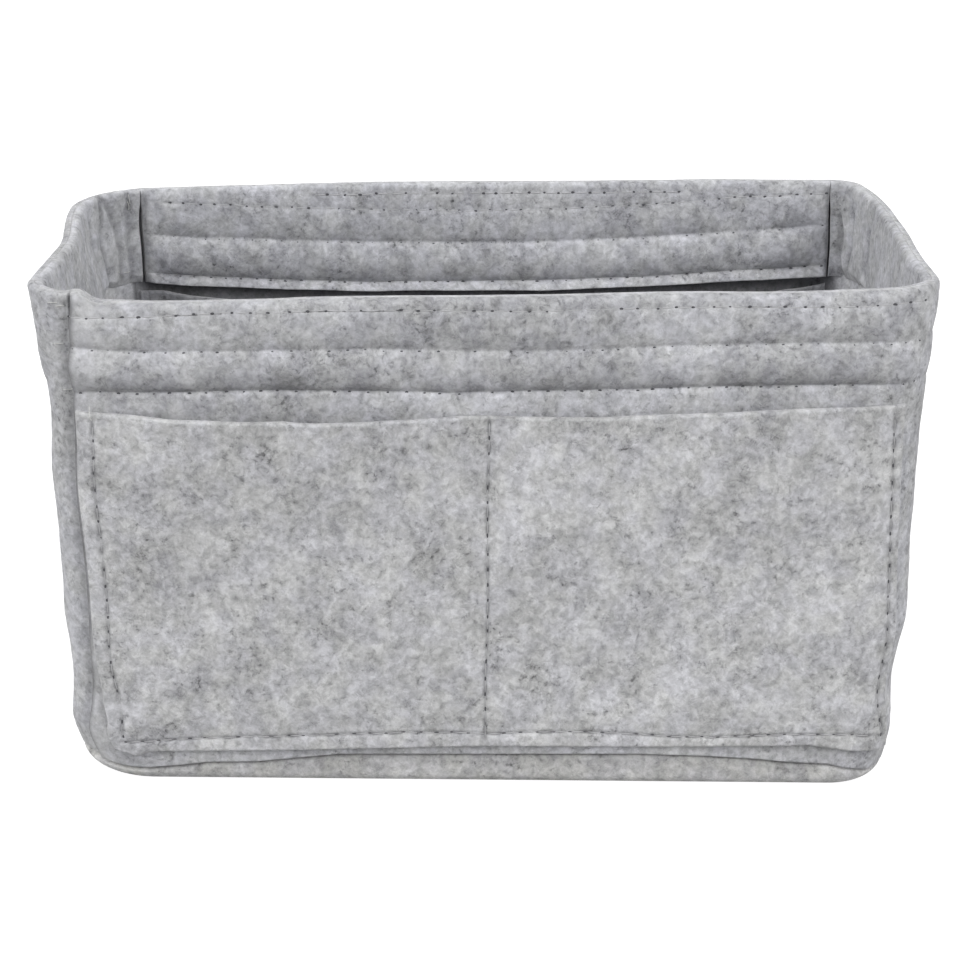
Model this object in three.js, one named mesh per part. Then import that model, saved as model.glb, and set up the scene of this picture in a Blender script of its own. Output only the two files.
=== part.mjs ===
// Felt purse organizer insert: an open-topped box of pressed felt with two pockets on each long face,
// two more on the inside of each long wall, a double rim and a tray-shaped base.
// Millimetres, +X along the length, the front towards -Y, +Z up, standing on z = 0.
import * as THREE from 'three';

// Overall sizes of the standing insert
const baseLength = 260;
const baseDepth = 150;
const height = 160;

// Felt, and the air left between two layers that are sewn together
const felt = 2.5;
const layerGap = 0.3;

// Relaxed form: soft walls stand out at the ends, open at the rim and turn a little
const endSwell = 3.7;
const swellHeight = 56;
const flareHeight = 112;
const rimFlareLeft = 5.8;
const rimFlareRight = 2.5;
const frontLean = 2.2;
const backLean = 3.7;
const rightBow = 1.7;
const backBow = 3.9;
const leftPinch = 3.1;
const rimTwistDegrees = 3.2;

// Corner radii in plan, outside the wall, low on it and at the rim, front right, back right, back left and
// front left; at the floor itself the corners are drawn in further
const baseCornerRadius = 17;
const rimCornerRadii = [16, 11, 28, 19];
const floorCornerRadii = [20, 20, 20, 29];
const floorEaseHeight = 20;

// Wrap: one strip round all four sides, its front end lapped over its other end at the left front corner
const wrapHemHeight = 9;
const lapEdgeIntoCorner = 8.55;
const lapWidth = 14;
const lapRampLength = 16;
const lapMargin = 1.5;

// Base tray: its fold stands out flush with the wrap under the hem, and its upturned rim goes up inside it
const trayRimHeight = 22;
const trayBendRadius = 3.5;
const trayFoldHeight = 5;
const trayFoldInset = 0.2;

// Facings: four strips that line the rim, butted beside the inner corners; each seam lies this far beyond the
// start or end of the front or back side; the edge at the back sags
const facingWidth = 34;
const facingSeamsIntoCorners = [-5.55, 5.55, -2.9, 10.2];
const backSag = 5.5;

// Outer pocket panels, sewn at both ends, at the middle and along the bottom
const outerPocketMargin = 7.5;
const outerPocketHem = 13;
const outerPocketDrop = 33;
const outerPocketShift = 2.5;
const frontPocketBulges = [8, 6.5];
const backPocketBulges = [7, 7];

// Inner pocket panels, sewn the same way inside the long walls, with their mouths just below the facings; the
// one at the back runs into both corners
const innerFrontPocketMargin = 12;
const innerBackPocketMargin = 6.5;
const innerBackPocketShift = 4.8;
const innerPocketHem = 13;
const innerPocketDrop = 2;
const innerPocketBulges = [13, 13];
const trayStepHeight = 9;

// Fineness of the facets
const levelStep = 14;
const cornerSteps = 6;
const longSideSteps = 8;
const shortSideSteps = 4;
const pocketSectionSteps = 8;
const bendSteps = 3;

// A bulge grows from nothing at the hem to its full depth at the mouth with this power of the height
const bulgePower = 1.4;
const bowPower = 1.5;

const layer = felt + layerGap;
const quarterTurn = Math.PI / 2;
const sideCount = 4;
const rimTwist = THREE.MathUtils.degToRad(rimTwistDegrees);
const smooth = THREE.MathUtils.smoothstep;
const blend = THREE.MathUtils.lerp;

// Plan of the outside of the wall at a height: how far the front, right, back and left sides stand from
// the middle, and the radius of the corner that follows each of them
function planAt(z) {
  const rise = z / height;
  const swell = endSwell * Math.sin(quarterTurn * Math.min(1, z / swellHeight));
  const flare = Math.max(0, (z - flareHeight) / (height - flareHeight)) ** 2;
  const low = 1 - smooth(z, 0, floorEaseHeight);
  const bow = rise ** bowPower;
  return {
    reach: [
      baseDepth / 2 - frontLean * rise,
      baseLength / 2 + swell + rimFlareRight * flare,
      baseDepth / 2 - backLean * rise,
      baseLength / 2 + swell + rimFlareLeft * flare,
    ],
    radius: rimCornerRadii.map((rimRadius, side) => (
      blend(baseCornerRadius, rimRadius, rise) + (floorCornerRadii[side] - baseCornerRadius) * low
    )),
    bow: [0, rightBow * bow, backBow * bow, -leftPinch * bow],
    turn: rimTwist * rise,
  };
}

// First and last place on a side, measured along it from the middle of the plan
function sideEnds(plan, side) {
  const before = (side + sideCount - 1) % sideCount;
  const after = (side + 1) % sideCount;
  return [plan.radius[before] - plan.reach[before], plan.reach[after] - plan.radius[side]];
}

// Runs round the plan at mid height: each side is followed by its corner, anticlockwise from the front
const middlePlan = planAt(height / 2);
const runLengths = [];
for (let side = 0; side < sideCount; side += 1) {
  const [start, end] = sideEnds(middlePlan, side);
  runLengths.push(end - start);
  runLengths.push(quarterTurn * middlePlan.radius[side]);
}
const loopLength = runLengths.reduce((sum, length) => sum + length, 0);
const runStarts = runLengths.map((_, run) => (
  runLengths.slice(0, run).reduce((sum, length) => sum + length, -runLengths[0] / 2)
));
const backRun = 4;
const backMiddle = runStarts[backRun] + runLengths[backRun] / 2;
const facingSeams = [0, 1, backRun, backRun + 1].map((run, seam) => runStarts[run] + facingSeamsIntoCorners[seam]);

// Distance round the wall from the middle of the front, brought into one turn that starts on the front side
function withinLoop(distance) {
  const start = runStarts[0];
  return start + THREE.MathUtils.euclideanModulo(distance - start, loopLength);
}

// Distance brought into half a turn each way of the front
function nearFront(distance) {
  const half = loopLength / 2;
  return THREE.MathUtils.euclideanModulo(distance + half, loopLength) - half;
}

// Point at a distance round the wall, at a height, set in from the outside of the wall
function wallPoint(distance, z, inset) {
  const place = withinLoop(distance);
  let run = runStarts.length - 1;
  while (place < runStarts[run]) run -= 1;
  const along = (place - runStarts[run]) / runLengths[run];
  const plan = planAt(z);
  const side = Math.floor(run / 2);
  const facing = quarterTurn * (side - 1);
  const outward = new THREE.Vector2(Math.cos(facing), Math.sin(facing));
  const forward = new THREE.Vector2(-outward.y, outward.x);
  const [start, end] = sideEnds(plan, side);
  const point = new THREE.Vector2();
  if (run % 2 === 0) {
    const bow = plan.bow[side] * (1 - (2 * along - 1) ** 2);
    point.addScaledVector(outward, plan.reach[side] + bow - inset);
    point.addScaledVector(forward, blend(start, end, along));
  } else {
    const radius = plan.radius[side];
    point.addScaledVector(outward, plan.reach[side] - radius);
    point.addScaledVector(forward, end);
    point.addScaledVector(outward, Math.cos(quarterTurn * along) * (radius - inset));
    point.addScaledVector(forward, Math.sin(quarterTurn * along) * (radius - inset));
  }
  point.rotateAround(new THREE.Vector2(), plan.turn);
  return [point.x, point.y, z];
}

// How far the wall's inner layers have stepped in for the lap, as a share of one layer
const lapEdge = runStarts[0] - lapEdgeIntoCorner;
const lapTailEnd = lapEdge + lapWidth;
function tailRamp(distance) {
  return smooth(distance, lapEdge - lapMargin - lapRampLength, lapEdge - lapMargin);
}
function lapStep(distance) {
  const place = nearFront(distance);
  const leave = smooth(place, lapTailEnd + lapMargin, lapTailEnd + lapMargin + lapRampLength);
  return tailRamp(place) * (1 - leave);
}

// Inset of a sheet that lies inside the wrap
function liningInset(distance) {
  return layer * (1 + lapStep(distance));
}

// Places where every sheet has a row of corners, so that neighbouring layers bend at the same lines
const commonPlaces = [lapEdge - lapMargin, lapTailEnd + lapMargin, lapTailEnd + lapMargin + lapRampLength];
runStarts.forEach((start, run) => {
  const sideSteps = run % backRun === 0 ? longSideSteps : shortSideSteps;
  const steps = run % 2 === 1 ? cornerSteps : sideSteps;
  for (let step = 0; step < steps; step += 1) commonPlaces.push(start + (runLengths[run] * step) / steps);
});
const commonLevels = [
  floorEaseHeight * 0.7,
  floorEaseHeight,
  trayRimHeight + lapMargin,
  trayRimHeight + lapMargin + trayStepHeight,
];
for (let z = levelStep * 3; z < height; z += levelStep) commonLevels.push(z);

// Sorted places from one end to the other, without two that lie closer than the gap between layers
function spread(from, to, places) {
  const kept = [from];
  for (const place of places.toSorted((a, b) => a - b)) {
    if (place > kept.at(-1) + layerGap && place < to - layerGap) kept.push(place);
  }
  return [...kept, to];
}

function placesBetween(from, to, extra = []) {
  const turns = [-loopLength, 0, loopLength];
  const places = turns.flatMap((turn) => commonPlaces.map((place) => place + turn));
  return spread(from, to, [...places, ...extra]);
}

// Closed solid from a grid of outside points and a matching grid of inside points
function solidFromGrids(outside, inside) {
  const columns = outside.length;
  const rows = outside[0].length;
  const positions = [...outside.flat(), ...inside.flat()].flat();
  const indices = [];
  const at = (column, row, inner) => (inner ? columns * rows : 0) + column * rows + row;
  const quad = (a, b, c, d) => indices.push(a, b, c, a, c, d);
  for (let i = 0; i + 1 < columns; i += 1) {
    for (let j = 0; j + 1 < rows; j += 1) {
      quad(at(i, j), at(i + 1, j), at(i + 1, j + 1), at(i, j + 1));
      quad(at(i, j, true), at(i, j + 1, true), at(i + 1, j + 1, true), at(i + 1, j, true));
    }
    quad(at(i, 0), at(i, 0, true), at(i + 1, 0, true), at(i + 1, 0));
    quad(at(i, rows - 1), at(i + 1, rows - 1), at(i + 1, rows - 1, true), at(i, rows - 1, true));
  }
  for (let j = 0; j + 1 < rows; j += 1) {
    quad(at(0, j), at(0, j + 1), at(0, j + 1, true), at(0, j, true));
    quad(at(columns - 1, j), at(columns - 1, j, true), at(columns - 1, j + 1, true), at(columns - 1, j + 1));
  }
  const geometry = new THREE.BufferGeometry();
  geometry.setAttribute('position', new THREE.Float32BufferAttribute(positions, 3));
  geometry.setIndex(indices);
  geometry.computeVertexNormals();
  return geometry;
}

// Felt sheet that follows the wall; inset gives how far its outside lies inside the wall's outside, and drop
// how far a point lies below its even height
function feltSheet({ from, to, low, high, inset, extra, drop = () => 0 }) {
  const places = placesBetween(from, to, extra);
  const levels = spread(low, high, commonLevels);
  const grid = (depth) => places.map((place) => levels.map((z) => {
    const share = (z - low) / (high - low);
    return wallPoint(place, z - drop(place, share), inset(place, z) + depth);
  }));
  return solidFromGrids(grid(0), grid(felt));
}

// How far the seams and edges inside the back wall sag, most at its middle
function sagAt(place) {
  const half = (facingSeams[3] - facingSeams[2]) / 2;
  return backSag * Math.max(0, 1 - ((place - backMiddle) / half) ** 2);
}

// One strip once round the box; its far end steps in and runs on behind its near end
function bodyWrap() {
  return feltSheet({
    from: lapEdge,
    to: lapTailEnd + loopLength,
    low: wrapHemHeight,
    high: height,
    inset: (place) => layer * tailRamp(place - loopLength),
  });
}

// Strip of facing from one seam to the next
function rimFacing(side) {
  const next = side + 1;
  const end = next < sideCount ? facingSeams[next] : facingSeams[0] + loopLength;
  return feltSheet({
    from: facingSeams[side] + layerGap / 2,
    to: end - layerGap / 2,
    low: height - facingWidth,
    high: height,
    inset: liningInset,
    drop: (place, share) => sagAt(place) * (1 - share),
  });
}

// Pocket panel with equal sections side by side; each section stands away from the wall at its mouth
function pocketPanel({ middle, width, low, high, bulges, inset, drop }) {
  const start = middle - width / 2;
  const sectionWidth = width / bulges.length;
  const extra = [];
  for (let step = 1; step < bulges.length * pocketSectionSteps; step += 1) {
    extra.push(start + (sectionWidth * step) / pocketSectionSteps);
  }
  const bulgeAt = (place, z) => {
    const sections = (place - start) / sectionWidth;
    const section = Math.min(bulges.length - 1, Math.max(0, Math.floor(sections)));
    const arch = Math.abs(Math.sin(Math.PI * sections));
    return bulges[section] * arch * ((z - low) / (high - low)) ** bulgePower;
  };
  return feltSheet({
    from: start,
    to: start + width,
    low,
    high,
    inset: (place, z) => inset(place, z, bulgeAt(place, z)),
    extra,
    drop,
  });
}

function outerPocket(middle, bulges) {
  return pocketPanel({
    middle,
    width: baseLength - 2 * outerPocketMargin,
    low: outerPocketHem,
    high: height - outerPocketDrop,
    bulges,
    inset: (place, z, bulge) => -layer - bulge,
  });
}

// The inner panels also lie over the tray's rim, one layer further in
function innerPocket(middle, margin) {
  const overTray = (z) => 1 - smooth(z, trayRimHeight + lapMargin, trayRimHeight + lapMargin + trayStepHeight);
  return pocketPanel({
    middle,
    width: baseLength - 2 * margin,
    low: innerPocketHem,
    high: height - facingWidth - innerPocketDrop,
    bulges: innerPocketBulges,
    inset: (place, z, bulge) => liningInset(place) + layer * overTray(z) + bulge,
    drop: (place, share) => sagAt(place) * share,
  });
}

// Base with its edge turned up all round inside the wrap
function baseTray() {
  const places = placesBetween(lapEdge, lapEdge + loopLength).slice(0, -1);
  const bend = (radius, lift, share) => ({
    depth: trayBendRadius - radius * Math.sin(quarterTurn * share),
    z: lift + radius * (1 - Math.cos(quarterTurn * share)),
  });
  const profile = [];
  for (let step = 0; step <= bendSteps; step += 1) profile.push(bend(trayBendRadius, 0, step / bendSteps));
  const levels = spread(trayFoldHeight, trayRimHeight, [wrapHemHeight - layerGap, ...commonLevels]);
  profile.push(...levels.map((z) => ({ depth: 0, z })));
  profile.push(...levels.toReversed().map((z) => ({ depth: felt, z })));
  for (let step = bendSteps; step >= 0; step -= 1) {
    profile.push(bend(trayBendRadius - felt, felt, step / bendSteps));
  }
  const stepIn = (z) => THREE.MathUtils.clamp(THREE.MathUtils.mapLinear(
    z, trayFoldHeight, wrapHemHeight - layerGap, 0, 1,
  ), 0, 1);
  const rings = profile.map(({ depth, z }) => (
    places.map((place) => wallPoint(place, z, blend(trayFoldInset, liningInset(place), stepIn(z)) + depth))
  ));
  const positions = rings.flat().flat();
  const count = places.length;
  const indices = [];
  const under = positions.length / 3;
  const above = under + 1;
  positions.push(0, 0, 0, 0, 0, felt);
  for (let i = 0; i < count; i += 1) {
    const next = (i + 1) % count;
    for (let ring = 0; ring + 1 < rings.length; ring += 1) {
      const a = ring * count;
      const b = a + count;
      indices.push(a + i, a + next, b + next, a + i, b + next, b + i);
    }
    const last = (rings.length - 1) * count;
    indices.push(under, next, i, above, last + i, last + next);
  }
  const geometry = new THREE.BufferGeometry();
  geometry.setAttribute('position', new THREE.Float32BufferAttribute(positions, 3));
  geometry.setIndex(indices);
  geometry.computeVertexNormals();
  return geometry;
}

// Pressed felt in the greys of each part as the light finds them
function feltMaterial(color) {
  return new THREE.MeshStandardMaterial({ color, roughness: 0.96, metalness: 0 });
}

const insert = new THREE.Group();
function add(name, geometry, color) {
  const mesh = new THREE.Mesh(geometry, feltMaterial(color));
  mesh.name = name;
  insert.add(mesh);
}

add('body_wrap', bodyWrap(), 0xb1b1b4);
add('base_tray', baseTray(), 0xaeaeac);
['front', 'right', 'back', 'left'].forEach((side, index) => {
  add(`rim_facing_${side}`, rimFacing(index), 0xa9a9ad);
});
add('front_pocket_panel', outerPocket(outerPocketShift, frontPocketBulges), 0xb6b6b8);
add('back_pocket_panel', outerPocket(backMiddle, backPocketBulges), 0xb6b6b8);
add('inner_front_pocket_panel', innerPocket(0, innerFrontPocketMargin), 0xa9a9ad);
add(
  'inner_back_pocket_panel',
  innerPocket(backMiddle + innerBackPocketShift, innerBackPocketMargin),
  0xa9a9ad,
);

// The origin is the middle of the footprint of the whole insert, on the floor
const box = new THREE.Box3().setFromObject(insert);
const centre = box.getCenter(new THREE.Vector3());
insert.position.set(-centre.x, -centre.y, -box.min.z);

const part = new THREE.Group();
part.add(insert);
export default part;
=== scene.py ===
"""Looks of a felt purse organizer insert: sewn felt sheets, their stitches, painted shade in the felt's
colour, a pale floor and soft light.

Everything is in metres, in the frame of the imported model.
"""
import math

import bpy
import numpy as np
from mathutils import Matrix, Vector


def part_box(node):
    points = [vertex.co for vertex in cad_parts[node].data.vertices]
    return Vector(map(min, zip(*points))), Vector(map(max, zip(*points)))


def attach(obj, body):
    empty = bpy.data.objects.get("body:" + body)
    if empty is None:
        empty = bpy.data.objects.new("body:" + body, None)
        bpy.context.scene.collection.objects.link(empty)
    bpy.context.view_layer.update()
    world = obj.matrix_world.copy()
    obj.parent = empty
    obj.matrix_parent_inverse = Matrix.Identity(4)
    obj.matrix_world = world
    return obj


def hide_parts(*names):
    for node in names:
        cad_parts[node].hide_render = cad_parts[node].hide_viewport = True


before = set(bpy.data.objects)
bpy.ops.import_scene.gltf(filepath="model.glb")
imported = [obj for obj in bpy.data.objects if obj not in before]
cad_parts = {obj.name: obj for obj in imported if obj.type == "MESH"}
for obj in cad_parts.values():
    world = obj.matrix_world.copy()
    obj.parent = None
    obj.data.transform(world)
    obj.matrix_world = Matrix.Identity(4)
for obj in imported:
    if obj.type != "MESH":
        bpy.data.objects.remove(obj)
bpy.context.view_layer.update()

MM = 0.001

# Form of the wall, as the frame has it
BASE_LENGTH = 260 * MM
BASE_DEPTH = 150 * MM
HEIGHT = 160 * MM
FELT = 2.5 * MM
LAYER_GAP = 0.3 * MM
LAYER = FELT + LAYER_GAP
END_SWELL = 3.7 * MM
SWELL_HEIGHT = 56 * MM
FLARE_HEIGHT = 112 * MM
RIM_FLARE_LEFT = 5.8 * MM
RIM_FLARE_RIGHT = 2.5 * MM
FRONT_LEAN = 2.2 * MM
BACK_LEAN = 3.7 * MM
RIGHT_BOW = 3.2 * MM
BACK_BOW = 3.9 * MM
LEFT_PINCH = 2.2 * MM
RIM_TWIST = math.radians(3.2)
BOW_POWER = 1.5
LOW_CORNER_RADIUS = 17 * MM
RIM_RADII = (16 * MM, 11 * MM, 28 * MM, 19 * MM)
FLOOR_RADII = (19 * MM, 20 * MM, 20 * MM, 27 * MM)
FLOOR_EASE = 20 * MM
RIGHT_SKEW = 1.4 * MM

# Wrap, tray, facings and pockets
WRAP_HEM = 9 * MM
LAP_EDGE = -125 * MM
LAP_WIDTH = 14 * MM
LAP_RAMP = 16 * MM
LAP_MARGIN = 1.5 * MM
TRAY_RIM = 22 * MM
TRAY_BEND = 3.5 * MM
TRAY_FOLD_INSET = 0.2 * MM
TRAY_STEP_IN = 1.2 * MM
TRAY_STEP = 9 * MM
FACING_EDGE = 126 * MM
FACING_SEAMS = (-122 * MM, 122 * MM, 278 * MM, 522 * MM)
OUTER_POCKET_WIDTH = 245 * MM
OUTER_POCKET_HEM = 13 * MM
OUTER_POCKET_TOP = 127 * MM
OUTER_POCKET_SHIFT = 2.5 * MM
FRONT_POCKET_BULGES = (4.5 * MM, 3.5 * MM)
BACK_POCKET_BULGES = (7 * MM, 7 * MM)
INNER_POCKET_WIDTH = 236 * MM
INNER_BACK_WIDTH = 247 * MM
INNER_BACK_SHIFT = 4.8 * MM
INNER_POCKET_HEM = 13 * MM
INNER_POCKET_TOP = 124 * MM
INNER_POCKET_BULGES = (13 * MM, 13 * MM)
BULGE_POWER = 1.4

# Sewing
STITCH = 5.3 * MM
STITCH_STEPS = 8
STEP = STITCH / STITCH_STEPS
THREAD_RADIUS = 0.2 * MM
STRAND_RADIUS = 0.13 * MM

# Even heights of the seams, which the measured ones replace
ROW_LEVELS = (132.5 * MM, 145.5 * MM, 154.5 * MM)
EXTRA_LEVEL = 158.2 * MM
EXTRA_ROW_DROP = 3.5 * MM
BOTTOM_LEVEL = 17 * MM

# Distance round the wall from its front middle and height, in mm, of the rim, seam rows and edges
RIM = (
    (-126, 161.6), (-121.5, 162.5), (-118.5, 162.8), (-117, 162.3), (-114.5, 160), (-112.5, 159.3),
    (-108, 159.2), (-94, 159.9), (-54, 160.6), (60, 160.6), (95, 161), (126, 161.8), (150, 161.2),
    (200, 160.7), (240, 160.9), (282, 160.5), (330, 160.5), (365, 160.2), (400, 160.2), (438, 160.5),
    (470, 160.1), (540, 160), (600, 160.3), (640, 161.6), (655, 162.2), (668, 161.6),
)
ROW_1 = (
    (-126, 155.8), (-115, 155.6), (-102, 155.9), (-89, 156.6), (-76, 157.4), (-38, 157.4), (1, 156.8),
    (53, 156.8), (79, 157.4), (105, 157), (118, 157.8), (200, 157), (284, 156.3), (298, 155.8),
    (313, 154.8), (344, 152.4), (376, 150.9), (407, 150.5), (438, 151.4), (470, 152.7), (500, 154.7),
    (515, 156), (600, 156.2),
)
ROW_2 = (
    (-126, 146.2), (-117, 145.6), (-104, 144.9), (-91, 145.1), (-65, 145.3), (-39, 145), (-12, 144.4),
    (14, 144.1), (40, 144.3), (67, 145.5), (93, 146), (120, 145.5), (200, 145.5), (282, 144.9),
    (296, 143.5), (312, 142.3), (344, 140.3), (376, 139), (408, 138.6), (439, 139.2), (471, 140.5),
    (502, 142.1), (518, 143.6), (600, 145.2),
)
ROW_3 = (
    (-126, 131.3), (-119, 132.5), (-106, 132.1), (-92, 132.5), (-66, 132.9), (-39, 132), (-13, 131.1),
    (14, 131.8), (41, 131.5), (68, 132.7), (94, 133.1), (122, 132.7), (200, 131.7), (280, 130.4),
    (295, 129.2), (311, 128.3), (343, 125.9), (375, 125), (408, 124.4), (440, 124.6), (472, 125.8),
    (504, 127.9), (521, 129.8), (532, 129.8), (600, 130.8),
)
FACING_LOW = (
    (-122, 126), (122, 126), (247, 127.8), (261, 126.1), (273, 125.8), (278, 126.4), (294, 125.9),
    (310, 124.9), (343, 122.8), (375, 121.7), (408, 121.4), (440, 121.7), (472, 122.8), (504, 124.7),
    (521, 126.3), (532, 126.2), (540, 127.1), (600, 126.5),
)
BOTTOM_ROW = (
    (-126, 14.5), (-113, 15.1), (-98, 16.2), (-83, 17), (-54, 18), (-26, 19), (-11, 19.2), (3, 18.8),
    (17, 19.5), (32, 19.7), (46, 19.1), (61, 18.3), (75, 18.1), (89, 18.9), (103, 19.3), (118, 19.2),
    (135, 16), (150, 15), (200, 17), (250, 15), (285, 15.5), (330, 18), (396, 19), (460, 18.2),
    (510, 15.5), (545, 15), (600, 17), (650, 15),
)
HEM = (
    (-126, 5), (-122, 4.6), (-116, 4.6), (-104, 5.6), (-95, 6.7), (-78, 7), (-65, 8.3), (-49, 9.9),
    (2, 10.3), (52, 10.7), (72, 10.2), (89, 9.3), (100, 8.3), (114, 7.7), (123, 5.4), (128, 3.7),
    (150, 4.5), (200, 9), (250, 4.5), (270, 3.6), (290, 5.5), (330, 9), (396, 10.2), (460, 9), (505, 5.5),
    (530, 3.6), (550, 4.5), (600, 9), (640, 5), (655, 4), (668, 4.6),
)
FRONT_MOUTH = (
    (-119, 126.4), (-111, 126.4), (-104, 126), (-96, 125.2), (-87, 125.2), (-75, 124.8), (-63, 125),
    (-54, 124), (-40, 123.8), (-22, 124.1), (-12, 124.7), (2, 124.4), (20, 124.5), (32, 124.3),
    (44, 125.2), (56, 125.6), (68, 126.1), (80, 126.8), (88, 127), (104, 127), (124, 126.6),
)
FRONT_POCKET_LOW = (
    (-124, 12.2), (-119.3, 12.2), (-115.5, 9.8), (-110, 11.4), (-107, 11.7), (-93, 11.8), (-62, 12.4),
    (-48, 12.8), (2, 14.2), (51, 14.3), (97, 15), (105, 15.4), (127, 12),
)
BACK_MOUTH = ((270, 127.5), (330, 126.6), (396, 125.8), (450, 126.8), (520, 127.6))
BACK_POCKET_LOW = ((270, 12), (330, 13.6), (396, 14.2), (460, 13.4), (520, 12))
INNER_BACK_MOUTH = (
    (278, 123.4), (287, 122.6), (295, 122.4), (343, 119.4), (396, 118.2), (450, 119), (491, 121.3),
    (506, 122.1), (515, 123.2),
)
INNER_FRONT_MOUTH = ((-118, 124.2), (-60, 123.6), (0, 124), (60, 123.7), (118, 124.2))
INNER_BACK_LEFT_EDGE = ((13, 520), (60, 522), (125, 524.6))
INNER_BACK_LEFT_SEAM = ((13, 516.5), (60, 519), (125, 522))
INNER_LOW = ((-118, 12.6), (0, 13.2), (118, 12.6), (278, 12.6), (396, 13.2), (515, 12.6))

# Height and distance round the wall, in mm, of the upright seams and edges
LAP_LINE = (
    (6, -128.6), (17, -128), (25, -127), (38, -126), (55, -124.9), (70, -125.3), (90, -126),
    (110, -126.5), (126, -125.9), (139, -124.4), (151, -122.3), (162, -120.2),
)
LEFT_CORNER_SEAM = ((120, 523), (131, 522.3), (142, 520.6), (151, 519.4), (160, 518))
RIGHT_CORNER_SEAM = ((124, 276.6), (136, 277), (149, 278), (159, 279.4))
LEFT_WRINKLES = (((129, 527.6), (141, 525.8), (151, 523.9), (158, 522.6)),
                 ((130, 532), (139, 529.7), (146, 529.8), (154, 531), (159, 533)),
                 ((128, 539), (136, 538.2), (142, 538.6), (150, 536), (157, 534.4)),
                 ((128, 548), (140, 546), (152, 545)))
RIGHT_WRINKLES = (((128, 268), (134, 270), (142, 268.5), (148, 270)), ((130, 262), (140, 257), (150, 256)),
                  ((134, 240), (146, 236), (158, 231)))
POCKET_LEFT_EDGE = (
    (9, -119.6), (16, -119.6), (22, -119.4), (29, -121), (44, -122.2), (75, -123), (105, -124.1),
    (126, -124.1),
)
POCKET_LEFT_SEAM = (
    (16, -114.8), (22, -114.7), (31, -115.9), (39, -117.3), (49, -117.4), (59, -117.2), (76, -118),
    (106, -118.9), (123, -119.1),
)
POCKET_MIDDLE_SEAM = ((19, 1.5), (82, -0.5), (124, -1.6))
POCKET_RIGHT_SEAM = ((18, 127.6), (31, 125.6), (64, 123.4), (97, 121.6), (123, 119.6))
POCKET_RIGHT_EDGE = ((12, 131), (31, 128.8), (64, 126.6), (97, 124.8), (126, 122.8))

# Distance round the wall, in mm, of the inner back pocket's right edge, right seam and middle seam
INNER_BACK_OTHERS = (277.7, 283, 401)

# Height and how far the end walls stand out beyond their even form, in mm
RIGHT_PROFILE = (
    (0, 0), (8, 0.5), (15, 0.8), (25, -0.9), (34, -1.9), (44, -1), (53, 0.3), (91, 0.4), (105, 0.9),
    (120, 1.2), (139, 0.9), (149, 0.2), (160, -0.4),
)
LEFT_PROFILE = (
    (0, 0.2), (8, 0.8), (15, 0.8), (25, -0.9), (34, -1.7), (53, -0.8), (70, -0.9), (84, -0.6), (100, 0.2),
    (129, -0.3), (146, 0.5), (160, -0.8),
)

# Plan of the wall
QUARTER = math.pi / 2
SIDES = 4
PROFILE_STEP = 0.5 * MM
PROFILE_SOFTNESS = 4 * MM
PROFILE_REACH = 4 * PROFILE_SOFTNESS


def smooth(value, low, high):
    """Smooth step from 0 at low to 1 at high."""
    t = np.clip((value - low) / (high - low), 0, 1)
    return t * t * (3 - 2 * t)


def window(value, rise, fall):
    """Smooth step up over the first range and down over the second."""
    return smooth(value, *rise) * (1 - smooth(value, *fall))


def bell(value, width):
    """Share that is 1 at zero and less to both sides of it."""
    return np.exp(-(value / width) ** 2)


def fading(value, reach):
    """Share that is 1 up to zero and less beyond it."""
    return np.exp(-np.clip(value, 0, None) / reach)


def soft_profile(knots):
    """Rounded curve through knots in mm, as a function of height."""
    heights, values = (np.array(column) * MM for column in zip(*knots))
    offsets = np.arange(-PROFILE_REACH, PROFILE_REACH + PROFILE_STEP / 2, PROFILE_STEP)
    weights = bell(offsets, PROFILE_SOFTNESS)
    padded = np.arange(-2 * PROFILE_REACH, HEIGHT + 2 * PROFILE_REACH, PROFILE_STEP)
    rounded = np.convolve(np.interp(padded, heights, values), weights / weights.sum(), mode="same")
    return lambda z: np.interp(z, padded, rounded)


right_profile = soft_profile(RIGHT_PROFILE)
left_profile = soft_profile(LEFT_PROFILE)


def plan_at(z):
    """Reach of the front, right, back and left sides, corner radii, bows, skews and turn at heights z."""
    rise = z / HEIGHT
    swell = END_SWELL * np.sin(QUARTER * np.clip(z / SWELL_HEIGHT, 0, 1))
    flare = np.clip((z - FLARE_HEIGHT) / (HEIGHT - FLARE_HEIGHT), 0, None) ** 2
    bow = np.clip(rise, 0, None) ** BOW_POWER
    low = 1 - smooth(z, 0, FLOOR_EASE)
    reach = [
        BASE_DEPTH / 2 - FRONT_LEAN * rise,
        BASE_LENGTH / 2 + swell + RIM_FLARE_RIGHT * flare + right_profile(z),
        BASE_DEPTH / 2 - BACK_LEAN * rise,
        BASE_LENGTH / 2 + swell + RIM_FLARE_LEFT * flare + left_profile(z),
    ]
    radius = [
        LOW_CORNER_RADIUS + (rim - LOW_CORNER_RADIUS) * rise + (floor - LOW_CORNER_RADIUS) * low
        for rim, floor in zip(RIM_RADII, FLOOR_RADII)
    ]
    bows = [0 * bow, RIGHT_BOW * bow, BACK_BOW * bow, -LEFT_PINCH * bow]
    skews = [0 * bow, -RIGHT_SKEW * bow, 0 * bow, 0 * bow]
    return reach, radius, bows, skews, RIM_TWIST * rise


def side_ends(reach, radius, side):
    """First and last place on a side, measured along it from the middle of the plan."""
    before, after = (side - 1) % SIDES, (side + 1) % SIDES
    return radius[before] - reach[before], reach[after] - radius[side]


def measure_runs():
    """Lengths and starts of the sides and corners round the plan at mid height, from the front side on."""
    reach, radius, *_ = plan_at(np.array(HEIGHT / 2))
    lengths = []
    for side in range(SIDES):
        start, end = side_ends(reach, radius, side)
        lengths += [float(end - start), float(QUARTER * radius[side])]
    starts = np.cumsum([0] + lengths[:-1]) - lengths[0] / 2
    return np.array(lengths), starts


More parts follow.
